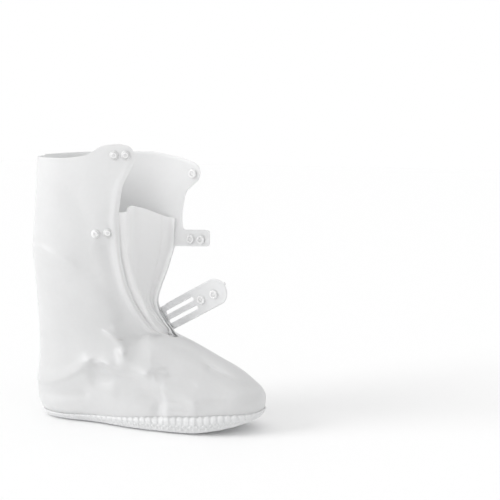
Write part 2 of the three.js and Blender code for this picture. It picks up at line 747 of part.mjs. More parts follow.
/** One level line of the gusset, from its near lap by way of its lip and valley to its far lap. */
function gussetLine(z) {
  const fold = gussetFoldAt(z);
  const clear = WALL + GAP + FACET_SAG;
  const inside = (side, x, depth) => {
    const { point, normal } = wallPlace(side, x, z);
    return point.addScaledVector(normal, -depth);
  };
  const nearEdge = edgeAt(NEAR, z);
  const farEnd = edgeAt(FAR, z) - gussetSetbackAt(z);
  const lip = new THREE.Vector3(fold.lipX, fold.lipY, z);
  const valley = new THREE.Vector3(fold.valleyX, fold.valleyY, z);
  const side = lip.clone().add(valley).divideScalar(2);
  return new THREE.CatmullRomCurve3([
    inside(NEAR, nearEdge - GUSSET_NEAR_LAP, clear),
    inside(NEAR, nearEdge - GUSSET_NEAR_LAP / 3, clear + GUSSET_LAP_DIP),
    lip,
    side.setX(side.x - GUSSET_BOW),
    valley,
    inside(FAR, farEnd - GUSSET_FAR_LAP, clear + GUSSET_WALL + GUSSET_FAR_DIP),
    inside(FAR, farEnd, clear + GUSSET_WALL),
  ]);
}

/** The gusset: a sheet folded from behind the near panel to the inside of the far panel. */
function gussetGeometry() {
  const points = [];
  const faces = [];
  const width = GUSSET_COLUMNS + 1;
  for (let i = 0; i <= GUSSET_LEVELS; i += 1) {
    for (let j = 0; j < width; j += 1) {
      const t = j / GUSSET_COLUMNS;
      const slope = THREE.MathUtils.smoothstep(t, GUSSET_FALL_START, 1);
      const top = THREE.MathUtils.lerp(GUSSET_TOP_NEAR, GUSSET_TOP_FAR, slope);
      const z = THREE.MathUtils.lerp(GUSSET_FOOT, top, i / GUSSET_LEVELS);
      points.push(gussetLine(z).getPointAt(t).setZ(z));
    }
  }
  return thicken(points, gridFaces(points, GUSSET_LEVELS, GUSSET_COLUMNS), GUSSET_WALL);
}

/** The strap's frame: its root, and its directions forward, across and out of its far side. */
function strapFrame() {
  const rise = THREE.MathUtils.degToRad(STRAP_RISE);
  const { point } = wallPlace(FAR, STRAP_ROOT.x, STRAP_ROOT.z);
  const run = new THREE.Vector3(Math.cos(rise), STRAP_DRIFT, Math.sin(rise)).normalize();
  const out = new THREE.Vector3(0, 1, 0).addScaledVector(run, -run.y).normalize();
  const across = run.clone().cross(out).normalize();
  return { root: point.addScaledVector(out, GAP + FACET_SAG), run, across, out };
}

/** A point of the strap's inner face, which leaves the far panel's curve for a flat strip. */
function strapPoint(frame, along, across) {
  const flat = frame.root.clone();
  flat.addScaledVector(frame.run, along).addScaledVector(frame.across, across);
  if (along >= STRAP_BEND) return flat;
  const { point, normal } = wallPlace(FAR, flat.x, flat.z - springLift(flat.x, flat.z));
  const lapped = point.addScaledVector(normal, GAP + FACET_SAG);
  return lapped.lerp(flat, THREE.MathUtils.smoothstep(along, 0, STRAP_BEND));
}

/** The strap: a lap on the far panel, then a flat strip with a round end, before its slots. */
function strapGeometry() {
  const frame = strapFrame();
  const half = STRAP_WIDTH / 2;
  const centre = STRAP_FREE - half;
  const along = [...STRAP_ROWS];
  for (let k = 0; k <= STRAP_ROUND_STEPS; k += 1) {
    along.push(centre + half * Math.sin((k / STRAP_ROUND_STEPS) * (Math.PI / 2)));
  }
  const points = [];
  along.forEach((s) => {
    const widthSquared = half ** 2 - Math.max(0, s - centre) ** 2;
    const width = Math.sqrt(Math.max(STRAP_TIP_HALF ** 2, widthSquared));
    for (let j = 0; j <= STRAP_COLUMNS; j += 1) {
      points.push(strapPoint(frame, s, width * (1 - (2 * j) / STRAP_COLUMNS)));
    }
  });
  return thicken(points, gridFaces(points, along.length - 1, STRAP_COLUMNS), STRAP_WALL);
}

/** A flat shape of the strap made solid between two depths, counted inwards from its inner face. */
function strapBlock(shape, low, high) {
  const { root, run, across, out } = strapFrame();
  const settings = { depth: high - low, bevelEnabled: false, curveSegments: SLOT_SEGMENTS };
  const block = new THREE.ExtrudeGeometry(shape, settings);
  block.translate(0, 0, low);
  const basis = new THREE.Matrix4().makeBasis(run, across, out.clone().negate()).setPosition(root);
  return toSolid(block.applyMatrix4(basis));
}

/** One slot's outline, with round ends. */
function slotShape(across) {
  const radius = SLOT_WIDTH / 2;
  const shape = new THREE.Shape();
  shape.absarc(SLOT_END - radius, across, radius, -Math.PI / 2, Math.PI / 2);
  shape.absarc(SLOT_START + radius, across, radius, Math.PI / 2, (3 * Math.PI) / 2);
  shape.closePath();
  return shape;
}

/** The moulding nib at the strap's round end. */
function nibShape() {
  const half = STRAP_WIDTH / 2;
  const turn = THREE.MathUtils.degToRad(NIB.turn);
  const centre = new THREE.Vector2(STRAP_FREE - half, 0);
  const middle = new THREE.Vector2();
  const corner = (reach, side) => {
    return new THREE.Vector2(reach, side).rotateAround(middle, turn).add(centre);
  };
  return new THREE.Shape([
    corner(half - NIB.root, -NIB.width / 2),
    corner(half + NIB.reach, -NIB.width / 2),
    corner(half + NIB.reach, NIB.width / 2),
    corner(half - NIB.root, NIB.width / 2),
  ]);
}

/** A place on the strap, by its distance along and across it. */
function strapPlace(along, across) {
  const frame = strapFrame();
  const point = frame.root.addScaledVector(frame.run, along).addScaledVector(frame.across, across);
  return { point, normal: frame.out };
}

const MATERIALS = {
  film: new THREE.MeshStandardMaterial({ color: 0xe9ebec, roughness: 0.45, metalness: 0 }),
  sole: new THREE.MeshStandardMaterial({ color: 0xdfe1e2, roughness: 0.6, metalness: 0 }),
  resin: new THREE.MeshStandardMaterial({ color: 0xf7f8f8, roughness: 0.3, metalness: 0 }),
};
const model = new THREE.Group();

/** Adds one named piece to the model. */
function addPiece(name, geometry, material) {
  const mesh = new THREE.Mesh(geometry, material);
  mesh.name = name;
  model.add(mesh);
}

/** Adds the cap and the mate of one snap, one each side of a wall. */
function addSnap(name, mate, capPlace, matePlace, reach) {
  const profile = mate === 'stud' ? STUD_PROFILE : SOCKET_PROFILE;
  addPiece(`snap_cap_${name}`, placed(capGeometry(reach), capPlace), MATERIALS.resin.clone());
  addPiece(`snap_${mate}_${name}`, placed(mateGeometry(profile), matePlace), MATERIALS.resin.clone());
}

/** A place moved along its normal, and turned to face back when asked. */
function shifted({ point, normal }, distance, faceBack) {
  const facing = faceBack ? normal.clone().negate() : normal.clone();
  return { point: point.clone().addScaledVector(normal, distance), normal: facing };
}

const { points, faces } = shellSheet();
const wallPlaces = WALL_SNAPS.map(({ name, side, x, z, mate }) => {
  return { name, mate, place: wallPlace(side, x, z) };
});
const tabPlaces = TAB_SNAPS.map(({ name, x, z }) => ({ name, place: tabPlace(x, z) }));
const strapPlaces = STRAP_SNAPS.map(({ name, along, across }) => {
  return { name, place: strapPlace(along, across) };
});

const shell = [...wallPlaces, ...tabPlaces].reduce(
  (solid, { place }) => solid.subtract(holeTool(place)),
  toSolid(thicken(points, faces, WALL)),
);
addPiece('upper', fromSolid(shell), MATERIALS.film.clone());

const sole = tread().reduce((solid, block) => solid.add(block), toSolid(trayGeometry()));
addPiece('outsole', fromSolid(sole), MATERIALS.sole.clone());
addPiece('gusset', gussetGeometry(), MATERIALS.film.clone());

const strapTools = [SLOT_OFFSET, -SLOT_OFFSET].map((offset) => {
  return strapBlock(slotShape(offset), -STRAP_TOOL_REACH, STRAP_TOOL_REACH);
});
const strapHoles = strapPlaces.map(({ place }) => holeTool(place));
const strap = [...strapTools, ...strapHoles].reduce(
  (solid, tool) => solid.subtract(tool),
  toSolid(strapGeometry()).add(strapBlock(nibShape(), -STRAP_WALL, 0)),
);
addPiece('instep_strap', fromSolid(strap), MATERIALS.film.clone());

// How far a cap's post reaches, through the shell, the tab and the strap.
const postReach = (wall, room) => GAP + wall + room + MATE_BASE - POST_RECESS;
for (const { name, mate, place } of wallPlaces) {
  const room = GAP + FACET_SAG;
  const outside = shifted(place, GAP, false);
  const inside = shifted(place, -(WALL + room), true);
  const places = mate === 'stud' ? [inside, outside] : [outside, inside];
  addSnap(name, mate, ...places, postReach(WALL, room));
}
for (const { name, place } of tabPlaces) {
  const room = 2 * GAP;
  const places = [shifted(place, GAP, false), shifted(place, -(WALL + room), true)];
  addSnap(name, 'socket', ...places, postReach(WALL, room));
}
for (const { name, place } of strapPlaces) {
  const places = [shifted(place, STRAP_WALL + GAP, false), shifted(place, -GAP, true)];
  addSnap(name, 'socket', ...places, postReach(STRAP_WALL, GAP));
}

const box = new THREE.Box3().setFromObject(model);
model.position.set(-(box.min.x + box.max.x) / 2, -(box.min.y + box.max.y) / 2, -box.min.z);

export default model;
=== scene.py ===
"""Looks of a waterproof over-boot gaiter of milky film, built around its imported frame.

Lengths are millimetres in the maker's axes: toe along +X, the leg up +Z, the panel with the
studs on the -Y side. They become metres of the frame as each mesh is made.
"""

from __future__ import annotations

import json
import logging
import math
from collections.abc import Callable
from dataclasses import dataclass, field
from enum import Enum

import bpy
import numpy as np
from mathutils import Matrix, Vector, geometry, noise

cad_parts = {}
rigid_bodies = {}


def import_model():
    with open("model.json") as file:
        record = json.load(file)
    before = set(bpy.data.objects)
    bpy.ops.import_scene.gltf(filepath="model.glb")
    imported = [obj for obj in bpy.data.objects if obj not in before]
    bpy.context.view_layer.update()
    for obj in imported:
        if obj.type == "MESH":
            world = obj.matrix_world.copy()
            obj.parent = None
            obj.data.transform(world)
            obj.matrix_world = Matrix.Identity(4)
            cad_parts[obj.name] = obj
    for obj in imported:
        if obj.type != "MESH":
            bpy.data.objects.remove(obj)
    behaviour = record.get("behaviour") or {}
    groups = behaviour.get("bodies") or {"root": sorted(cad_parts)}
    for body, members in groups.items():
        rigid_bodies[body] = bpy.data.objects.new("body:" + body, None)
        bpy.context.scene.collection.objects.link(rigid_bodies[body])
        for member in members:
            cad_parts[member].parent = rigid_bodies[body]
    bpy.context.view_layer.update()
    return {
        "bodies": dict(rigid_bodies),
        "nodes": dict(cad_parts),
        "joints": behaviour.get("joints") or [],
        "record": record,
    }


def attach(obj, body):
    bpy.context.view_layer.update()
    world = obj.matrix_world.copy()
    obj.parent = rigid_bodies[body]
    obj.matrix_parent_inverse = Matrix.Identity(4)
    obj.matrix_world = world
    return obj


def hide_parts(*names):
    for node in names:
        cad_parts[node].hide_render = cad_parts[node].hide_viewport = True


LOG = logging.getLogger("gaiter")
MM = 0.001
BODY = "root"
# Sockets of a colour Mix node, by number, because their names repeat.
MIX_SHARE, MIX_FIRST, MIX_SECOND, MIX_RESULT = 0, 6, 7, 2
Array = np.ndarray
Pairs = tuple[tuple[float, float], ...]
Piece = bpy.types.Object
Socket = bpy.types.NodeSocket


class Side(Enum):
    """The two panels: the near one carries the studs, the far one the ear, tab and strap."""

    NEAR = -1
    FAR = 1


class Slot(Enum):
    """Material slots of the record."""

    FILM = "film"
    SOLE = "sole"
    SNAP = "snap"


# ---------------------------------------------------------------------------------------------
# Form of the boot.


@dataclass(frozen=True)
class Curve:
    """A smooth curve through a short table of (place, value) that never overshoots it."""

    points: Pairs

    def __call__(self, where: Array | float) -> Array:
        """Values of the curve.

        Args:
            where: places, held inside the table's ends.

        Returns:
            The value at each place.
        """
        at, value = np.array(self.points, float).T
        secant = np.diff(value) / np.diff(at)
        slope = np.concatenate([secant[:1], np.zeros(len(secant) - 1), secant[-1:]])
        product, total = secant[:-1] * secant[1:], secant[:-1] + secant[1:]
        rising = product > 0
        slope[1:-1][rising] = 2 * product[rising] / total[rising]
        inside = np.clip(np.asarray(where, float), at[0], at[-1])
        i = np.clip(np.searchsorted(at, inside, side="right") - 1, 0, len(secant) - 1)
        step = at[i + 1] - at[i]
        t = (inside - at[i]) / step
        rise = t * t * (3 - 2 * t) * (value[i + 1] - value[i])
        bends = t * (1 - t) ** 2 * slope[i] - t * t * (1 - t) * slope[i + 1]
        return value[i] + rise + bends * step


def smooth(low: float, high: float, where: Array | float) -> Array:
    """A smooth step from 0 at low to 1 at high.

    Args:
        low: where the step starts.
        high: where it ends.
        where: places.

    Returns:
        The step's value at each place.
    """
    t = np.clip((np.asarray(where, float) - low) / (high - low), 0, 1)
    return t * t * (3 - 2 * t)


def reaches(line: Array) -> Array:
    """How far along a line of points each of them lies."""
    steps = np.linalg.norm(np.diff(line, axis=0), axis=1)
    return np.concatenate([[0], np.cumsum(steps)])


@dataclass(frozen=True)
class Fold:
    """A ridge along a path of (x, z) points, or a hollow where its height is negative.

    Its flank to the left of the path and the one to the right have widths of their own.
    """

    name: str
    path: Pairs
    height: float
    left: float
    right: float

    def push(self, x: Array, z: Array) -> Array:
        """How far the fold pushes each place outwards.

        Args:
            x: places along the foot.
            z: heights.

        Returns:
            Outward distances.
        """
        nearest = np.full(np.shape(x), np.inf)
        side = np.zeros(np.shape(x))
        for (x0, z0), (x1, z1) in zip(self.path, self.path[1:]):
            run_x, run_z = x1 - x0, z1 - z0
            along = ((x - x0) * run_x + (z - z0) * run_z) / (run_x**2 + run_z**2)
            t = np.clip(along, 0, 1)
            away_x, away_z = x - x0 - t * run_x, z - z0 - t * run_z
            distance = np.hypot(away_x, away_z)
            closer = distance < nearest
            nearest = np.where(closer, distance, nearest)
            side = np.where(closer, run_x * away_z - run_z * away_x, side)
        width = np.where(side > 0, self.left, self.right)
        return self.height * np.exp(-((nearest / width) ** 2))


@dataclass
class BootForm:
    """The shell's form: level sections, the slit's edges, the rims, the folds and toe spring.

    Each level runs from the near edge round the back to the far edge, and a place on it is
    the share t of its length.
    """

    section_columns: tuple[str, ...] = (
        "z", "back", "widest", "half", "waist", "near", "far", "back_power", "front_power",
    )
    sections: tuple[tuple[float, ...], ...] = (
        (5, -6.5, 176, 49, 9, 283, 283, 2.9, 2.3),
        (14, -14, 176, 52.5, 8, 287, 287, 2.9, 2.3),
        (28, -19, 172, 53.5, 6, 288.5, 288.5, 2.9, 2.3),
        (42, -19.6, 160, 53, 4, 285, 285, 2.8, 2.2),
        (54, -18.6, 145, 52, 2, 276, 276, 2.7, 2.1),
        (72, -16.7, 118, 51, 0, 257, 257, 2.5, 2),
        (87, -15.6, 98, 51, 0, 230, 230, 2.4, 1.9),
        (103, -13.9, 80, 51, 0, 197, 197, 2.4, 1.8),
        (116, -14.5, 68, 52, 0, 168, 168, 2.35, 1.75),
        (135, -16.3, 62, 52.5, 0, 160, 161, 2.3, 1.75),
        (155, -16.5, 58, 53.5, 0, 157, 166, 2.3, 1.85),
        (185, -18.2, 54, 55, 0, 156, 195, 2.3, 2),
        (214, -20.7, 52, 56, 0, 155, 230, 2.25, 2),
        (250, -17.7, 52, 56, 0, 156, 243, 2.25, 2),
        (290, -13.7, 52, 56, 0, 165, 250, 2.25, 2),
        (352, -9, 52, 56, 0, 182, 255, 2.25, 2),
    )
    waist_x: float = 75
    waist_spread: float = 45
    slit_foot: float = 110
    near_edge: Curve = Curve((
        (110, 181), (113, 168), (118, 157), (126, 148), (138, 140), (160, 130.3), (188, 122.3),
        (224, 117.2), (261, 116), (273, 117.3), (300, 122), (323, 133), (334, 136.5),
        (343, 136.5), (352, 131),
    ))
    far_edge: Curve = Curve((
        (110, 181), (113, 171), (118, 161), (126, 150), (138, 138), (150, 132), (166, 135),
        (190, 142), (214, 149), (219, 151), (240.5, 162.5), (256, 161.5), (278, 164.5),
        (289, 168), (298, 178), (306, 186.5), (314, 188.5), (321, 186.5), (326, 181),
    ))
    near_rim: Curve = Curve((
        (-30, 335), (40, 334), (78, 337.5), (89, 344), (100, 349.5), (117, 351.5), (130, 349),
        (137, 342),
    ))
    far_rim: Curve = Curve((
        (-30, 335), (22, 337.5), (90, 339), (113, 339), (143, 335.5), (174, 328.5), (190, 322),
    ))
    broad_folds: tuple[Fold, ...] = (
        Fold("hollow beside the edge", ((101, 225), (116, 150)), -3, 10, 10),
        Fold("ankle hollow", ((119, 134), (140, 106)), -4.5, 11, 11),
        Fold("ankle crease", ((107, 120), (126, 92)), 2.5, 7, 7),
        Fold("instep swell", ((124, 92), (152, 76)), 3, 11, 11),
        Fold("heel ridge", ((72, 83), (122, 80)), 3, 8, 8),
        Fold("heel hollow", ((84, 62), (128, 57)), -4.5, 12, 12),
        Fold("waist hollow", ((146, 52), (168, 36)), -4.5, 11, 11),
        Fold("side ridge", ((158, 73), (222, 42)), 3, 10, 10),
        Fold("leg swell", ((0, 216), (50, 206)), 2, 14, 14),
    )
    fine_folds: tuple[Fold, ...] = (
        Fold("ankle pinch", ((101, 121), (109, 116), (116, 111), (122, 106), (124, 99)), 2.6, 1.8, 6),
        Fold("pinch hook", ((98, 122.5), (110, 122)), 0.8, 2, 2.4),
        Fold("pinch hollow", ((127, 104), (134, 106), (140, 111)), -2.4, 13, 4),
        Fold("heel fold", ((80, 82), (88, 84.5), (98, 84.5), (106, 82)), 1.8, 7, 2),
        Fold("heel fold run", (
            (106, 80), (114, 77), (126, 77), (140, 75), (156, 75)), 2, 14, 4),
        Fold("heel fold drop", (
            (82, 76), (90, 77.5), (99, 75), (107, 69), (116, 66), (136, 63)), -2, 2.6, 10),
        Fold("heel band", (
            (-10, 46), (16, 50), (42, 59), (60, 70), (76, 81)), 2.1, 12, 3.5),
        Fold("heel band drop", ((-6, 35), (12, 34), (34, 35), (62, 38)), -3.3, 10, 9),
        Fold("instep shelf", ((112, 57), (132, 60), (150, 60), (166, 55)), 2.2, 12, 15),
        Fold("waist drop", ((120, 44), (146, 42), (168, 44), (170, 22)), -2.2, 9, 10),
        Fold("waist lip", ((177, 56), (180, 40), (180, 20)), 1.8, 9, 3),
        Fold("instep crease", ((156, 97), (158, 87), (161, 82), (169, 81.5)), 1.2, 2.4, 4),
        Fold("level crease", ((161, 78), (170, 78.4), (179, 79)), -0.8, 1.4, 1.4),
        Fold("level crease lip", ((161, 74.4), (168, 74.6), (176, 74.4)), 0.7, 1.5, 1.6),
        Fold("crease tail", ((165, 73), (167, 62)), 0.9, 2, 2.4),
        Fold("side dip", ((182, 70), (197, 66.5), (211, 62)), -1.5, 4, 6),
        Fold("toe side ridge", ((172, 63), (189, 56), (202, 50), (215, 42)), 1.5, 4, 8),
        Fold("side wrinkle", ((179, 40.4), (198, 40.2)), -0.7, 2, 2),
        Fold("lower side wrinkle", ((187, 30), (209, 30.3)), -0.7, 2, 2),
        Fold("ball edge", ((217, 44), (218.5, 33), (218, 20)), 0.9, 2.6, 8),
        Fold("vamp crease", (
            (159, 114), (171, 108), (186, 102), (200, 97), (214, 90), (225, 83)), -4.2, 4, 6),
        Fold("toe crease", (
            (231, 78), (244, 70), (257, 62), (269, 55.5), (280, 48)), -4.4, 3, 6),
        Fold("toe crease lip", ((240, 80), (256, 69), (268, 61)), 1.8, 5, 3),
        Fold("middle vamp dip", ((212, 74), (228, 68), (240, 60)), -1.2, 8, 9),
        Fold("toe streak", ((258, 38), (268, 48)), 0.8, 1.4, 2.4),
        Fold("toe dent", ((236, 40.5), (254, 37.5)), -0.6, 3, 3),
        Fold("back crease", ((-22, 228), (4, 226), (30, 216), (60, 204)), 1.1, 3.5, 8),
        Fold("back crease drop", ((-14, 200), (20, 198), (66, 190)), -0.8, 8, 8),
        Fold("upper back crease", ((-16, 318), (2, 312), (14, 305)), 0.9, 3, 5),
        Fold("panel streak", ((88, 261), (100, 262), (110, 262)), 0.6, 2, 3),
        Fold("heel seat", ((-2, 18), (20, 15), (50, 14)), 1.2, 7, 4),
        Fold("heel back swell", ((-2, 112), (-2, 84), (-2, 60)), 1.3, 7, 10),
        Fold("lower leg dent", ((50, 112), (52, 92), (48, 78)), -1.1, 10, 10),
        Fold("shin hollow", ((82, 196), (94, 180), (106, 160)), -1.3, 8, 9),
        Fold("lower leg swell", ((20, 162), (54, 158)), 0.9, 9, 9),
        Fold("leg dent", ((60, 290), (74, 266), (78, 236)), -0.9, 10, 14),
    )
    far_folds: tuple[Fold, ...] = (
        Fold("far ankle hollow", ((112, 140), (134, 108)), -3, 12, 12),
        Fold("far ankle crease", ((98, 118), (120, 92)), 1.6, 4, 7),
        Fold("far heel ridge", ((64, 84), (116, 78)), 2, 7, 6),
        Fold("far heel hollow", ((78, 60), (124, 54)), -2.6, 12, 12),
        Fold("far side ridge", ((150, 76), (218, 44)), 2, 7, 10),
        Fold("far leg crease", ((-18, 212), (44, 202)), 1, 5, 9),
    )
    roll_height: Curve = Curve((
        (112, 0), (121, 3.6), (141, 4.8), (186, 4.2), (223, 3), (266, 2.4), (300, 1.6),
        (330, 0.4),
    ))
    # The rolled near edge of the slit, and the bead along every cut edge.
    roll_centre: float = 4.6
    roll_width: float = 5.4
    bead_height: float = 0.45
    bead_width: float = 2.2
    bead_flat: float = 0.6
    # How the roll grows in above the slit's point, and how the folds die out at the seam below.
    slit_fade: float = 12
    seam_fade: float = 4
    # The film's own slow unevenness, which starts above the sole's edge.
    sway: float = 1.1
    sway_size: float = 46
    sway_low: float = 8
    sway_full: float = 30
    # The toe's rise off the floor, which fades with height.
    spring_start: float = 205
    spring_end: float = 296
    spring_rise: float = 21
    spring_power: float = 1.6
    spring_fade: float = 95
    shell_wall: float = 1.4
    rim_foot: float = 300
    # How finely the form is worked out.
    quarter_steps: int = 60
    level_step: float = 1
    share_steps: int = 600
    settle_passes: int = 8
    rim_guess: float = 330
    columns: dict[str, Curve] = field(init=False)
    levels: Array = field(init=False)
    places: Array = field(init=False)
    lengths: Array = field(init=False)

    def __post_init__(self) -> None:
        """Works out the level sections once, at even heights and even shares."""
        rows = np.array(self.sections, float)
        self.columns = {
            name: Curve(tuple(zip(rows[:, 0], rows[:, k])))
            for k, name in enumerate(self.section_columns) if k
        }
        low, high = rows[0, 0], rows[-1, 0]
        self.levels = np.arange(low, high + self.level_step / 2, self.level_step)
        shares = np.linspace(0, 1, self.share_steps + 1)
        self.places = np.empty((len(self.levels), len(shares), 2))
        self.lengths = np.empty(len(self.levels))
        for k, z in enumerate(self.levels):
            outline = self.outline(float(z))
            reach = reaches(outline)
            self.lengths[k] = reach[-1]
            for axis in range(2):
                self.places[k, :, axis] = np.interp(shares * reach[-1], reach, outline[:, axis])

    def edge(self, side: Side, z: float) -> float:
        """Where a panel ends at a height: below the slit, at the front.

        Args:
            side: which panel.
            z: the height.

        Returns:
            The edge's place along the foot.
        """
        if z <= self.slit_foot:
            return float(self.front(side, z))
        return float((self.near_edge if side is Side.NEAR else self.far_edge)(z))

    def front(self, side: Side, z: Array | float) -> Array:
        """The front of one side's own curve at a height."""
        return self.columns["near" if side is Side.NEAR else "far"](z)

    def waist_in(self, x: Array, z: Array | float) -> Array:
        """How far a side draws in at the waist."""
        spread = np.exp(-(((x - self.waist_x) / self.waist_spread) ** 2))
        return self.columns["waist"](z) * spread

    def quarter(self, side: Side, z: float, ahead: bool) -> Array:
        """One quarter of a level section.

        Args:
            side: which panel.
            z: the height.
            ahead: the front quarter, from the edge to the widest point, or else the back one,
                from the widest point to the back.

        Returns:
            Its points, in that order.
        """
        widest, half = float(self.columns["widest"](z)), float(self.columns["half"](z))
        power = float(self.columns["front_power" if ahead else "back_power"](z))
        steps = np.arange(self.quarter_steps) / self.quarter_steps
        if ahead:
            reach = float(self.front(side, z)) - widest
            share = min(1.0, (self.edge(side, z) - widest) / reach)
            start = math.acos(share ** (power / 2))
            angle = start + (math.pi / 2 - start) * steps
            x = widest + reach * np.cos(angle) ** (2 / power)
            y = half * np.sin(angle) ** (2 / power)
        else:
            reach = widest - float(self.columns["back"](z))
            angle = math.pi / 2 * steps
            x = widest - reach * np.sin(angle) ** (2 / power)
            y = half * np.cos(angle) ** (2 / power)
        return np.stack([x, side.value * (y - self.waist_in(x, z))], axis=1)

    def outline(self, z: float) -> Array:
        """A level section from the near edge round the back to the far edge.

        Args:
            z: the height.

        Returns:
            Its points, in that order.
        """
        near = [self.quarter(Side.NEAR, z, ahead) for ahead in (True, False)]
        far = [self.quarter(Side.FAR, z, ahead) for ahead in (True, False)]
        heel = np.array([[float(self.columns["back"](z)), 0.0]])
        return np.concatenate([*near, heel, np.concatenate(far)[::-1]])

    def looked_up(self, z: Array, t: Array) -> Array:
        """Places on the level sections, between the ones worked out beforehand.

        Args:
            z: heights.
            t: shares of each level's length.

        Returns:
            The places (x, y).
        """
        row = np.clip((z - self.levels[0]) / self.level_step, 0, len(self.levels) - 1)
        low = np.minimum(row.astype(int), len(self.levels) - 2)
        column = np.clip(t, 0, 1) * self.share_steps
        left = np.minimum(column.astype(int), self.share_steps - 1)
        up, over = (row - low)[..., None], (column - left)[..., None]
        lower, upper = (
            self.places[k, left] * (1 - over) + self.places[k, left + 1] * over
            for k in (low, low + 1)
        )
        return lower * (1 - up) + upper * up

    def level(self, z: Array, t: Array) -> tuple[Array, Array, Array]:
        """Places on the level sections.

        Args:
            z: heights.
            t: shares of each level's length.

        Returns:
            The places (x, y), the outward directions, and the levels' lengths.
        """
        nudge = 1 / self.share_steps
        run = self.looked_up(z, t + nudge) - self.looked_up(z, t - nudge)
        run /= np.linalg.norm(run, axis=-1, keepdims=True)
        outward = np.stack([-run[..., 1], run[..., 0]], axis=-1)
        return self.looked_up(z, t), outward, np.interp(z, self.levels, self.lengths)

    def spring(self, x: Array, z: Array) -> Array:
        """Lift of the toe spring."""
        share = np.maximum(0, (x - self.spring_start) / (self.spring_end - self.spring_start))
        return self.spring_rise * share**self.spring_power * np.maximum(0, 1 - z / self.spring_fade)

    def rim(self, x: Array, y: Array) -> Array:
        """Height of the rim over a place."""
        return np.where(y < 0, self.near_rim(x), self.far_rim(x))

    def folds(self, side: Side, x: Array, z: Array) -> Array:
        """How far all the folds of one side push its places outwards."""
        near = (*self.broad_folds, *self.fine_folds)
        return sum(fold.push(x, z) for fold in (near if side is Side.NEAR else self.far_folds))

    def relief(self, x: Array, y: Array, z: Array, t: Array, length: Array) -> Array:
        """How far folds, the rolled edge, the bead and the film's own sway push a place out.

        Args:
            x: places along the foot.
            y: places across it.
            z: heights.
            t: shares of the levels' lengths.
            length: those lengths.

        Returns:
            Outward distances.
        """
        near, far = t * length, (1 - t) * length
        folds = np.where(y < 0, self.folds(Side.NEAR, x, z), self.folds(Side.FAR, x, z))
        sway = np.array([
            noise.noise(Vector(p) / self.sway_size) for p in np.stack([x, y, z], -1).reshape(-1, 3)
        ]).reshape(np.shape(x))
        roll = self.roll_height(z) * np.exp(-(((near - self.roll_centre) / self.roll_width) ** 2))
        slit = smooth(self.slit_foot, self.slit_foot + self.slit_fade, z)
        seam = smooth(0, self.seam_fade, np.minimum(near, far)) + (z > self.slit_foot)
        edge = np.minimum(np.where(slit > 0, np.minimum(near, far), np.inf), self.rim(x, y) - z)
        flat = self.bead_width * self.bead_flat
        bead = 1 - smooth(flat, self.bead_width, np.maximum(edge, 0))
        return (
            folds * np.minimum(1, seam)
            + roll * slit
            + self.bead_height * bead * smooth(0, 1, slit + (z > self.rim_foot))
            + self.sway * sway * smooth(self.sway_low, self.sway_full, z)
        )

    def surface(self, z: Array, t: Array, out: Array | float = 0) -> Array:
        """Places on the outside of the shell, or at a distance out of it.

        Args:
            z: heights before the toe spring.
            t: shares of the levels' lengths.
            out: the distance.

        Returns:
            The places (x, y, z).
        """
        place, outward, length = self.level(z, t)
        x, y = place[..., 0], place[..., 1]
        push = self.relief(x, y, z, t, length) * np.abs(outward[..., 1]) + out
        x, y = x + push * outward[..., 0], y + push * outward[..., 1]
        return np.stack([x, y, z + self.spring(x, z)], axis=-1)

    def settled(self, t: Array, guess: float, height: Callable[[Array, Array], Array]) -> Array:
        """Heights that depend on the places they lead to.

        Args:
            t: shares of the levels' lengths.
            guess: a height to start from.
            height: gives the heights at places x and y.

        Returns:
            The heights.
        """
        z = np.full(np.shape(t), guess, float)
        for _ in range(self.settle_passes):
            place, _, _ = self.level(z, t)
            z = height(place[..., 0], place[..., 1])
        return z

    def rim_row(self, t: Array, share: float) -> Array:
        """Heights of a row of the rim band.

        Args:
            t: shares of the levels' lengths.
            share: how far up the band the row is.

        Returns:
            The heights.
        """
        foot = self.rim_foot
        return self.settled(t, self.rim_guess, lambda x, y: foot + share * (self.rim(x, y) - foot))

    def wall(self, side: Side, x: Array, z: Array, folded: bool = False) -> Array:
        """Places on a side's outside, by their place along the foot and height.

        Args:
            side: which panel.
            x: places along the foot.
            z: heights.
            folded: with all the shell's folds, and not just the near side's broad ones.

        Returns:
            The places (x, y, z).
        """
        widest = self.columns["widest"](z)
        ahead = x > widest
        reach = np.where(ahead, self.front(side, z) - widest, widest - self.columns["back"](z))
        power = np.where(ahead, self.columns["front_power"](z), self.columns["back_power"](z))
        share = np.minimum(1, np.abs(x - widest) / reach)
        y = self.columns["half"](z) * (1 - share**power) ** (1 / power) - self.waist_in(x, z)
        if folded:
            y = y + self.folds(side, x, z)
        elif side is Side.NEAR:
            y = y + sum(fold.push(x, z) for fold in self.broad_folds)
        return np.stack([x, side.value * y, z + self.spring(x, z)], axis=-1)

    def wall_out(self, side: Side, x: Array, z: Array) -> Array:
        """Directions out of a side's outside, at the same places as wall().

        Args:
            side: which panel.
            x: places along the foot.
            z: heights.

        Returns:
            The directions.
        """
        forward = self.wall(side, x + 1, z) - self.wall(side, x - 1, z)
        upward = self.wall(side, x, z + 1) - self.wall(side, x, z - 1)
        out = np.cross(forward, upward) * -side.value
        return out / np.linalg.norm(out, axis=-1, keepdims=True)


# ---------------------------------------------------------------------------------------------
# Meshes.


@dataclass(frozen=True)
class Place:
    """Turns the maker's millimetres into the frame's metres."""

    origin: Vector
    pad_middle: tuple[float, float, float] = (110, 0, 0)

    @classmethod
    def from_record(cls, record: dict) -> Place:
        """The place whose ground mount is the middle of the flat pad under the waist.

        Args:
            record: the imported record.

        Returns:
            The place.
        """
        ground = next(m for m in record["mounts"] if m["name"] == "ground")
        return cls(Vector(ground["pos_m"]) - Vector(cls.pad_middle) * MM)

    def metres(self, points: Array) -> Array:
        """Points of the frame, in metres."""
        return np.asarray(points, float) * MM + np.array(self.origin)


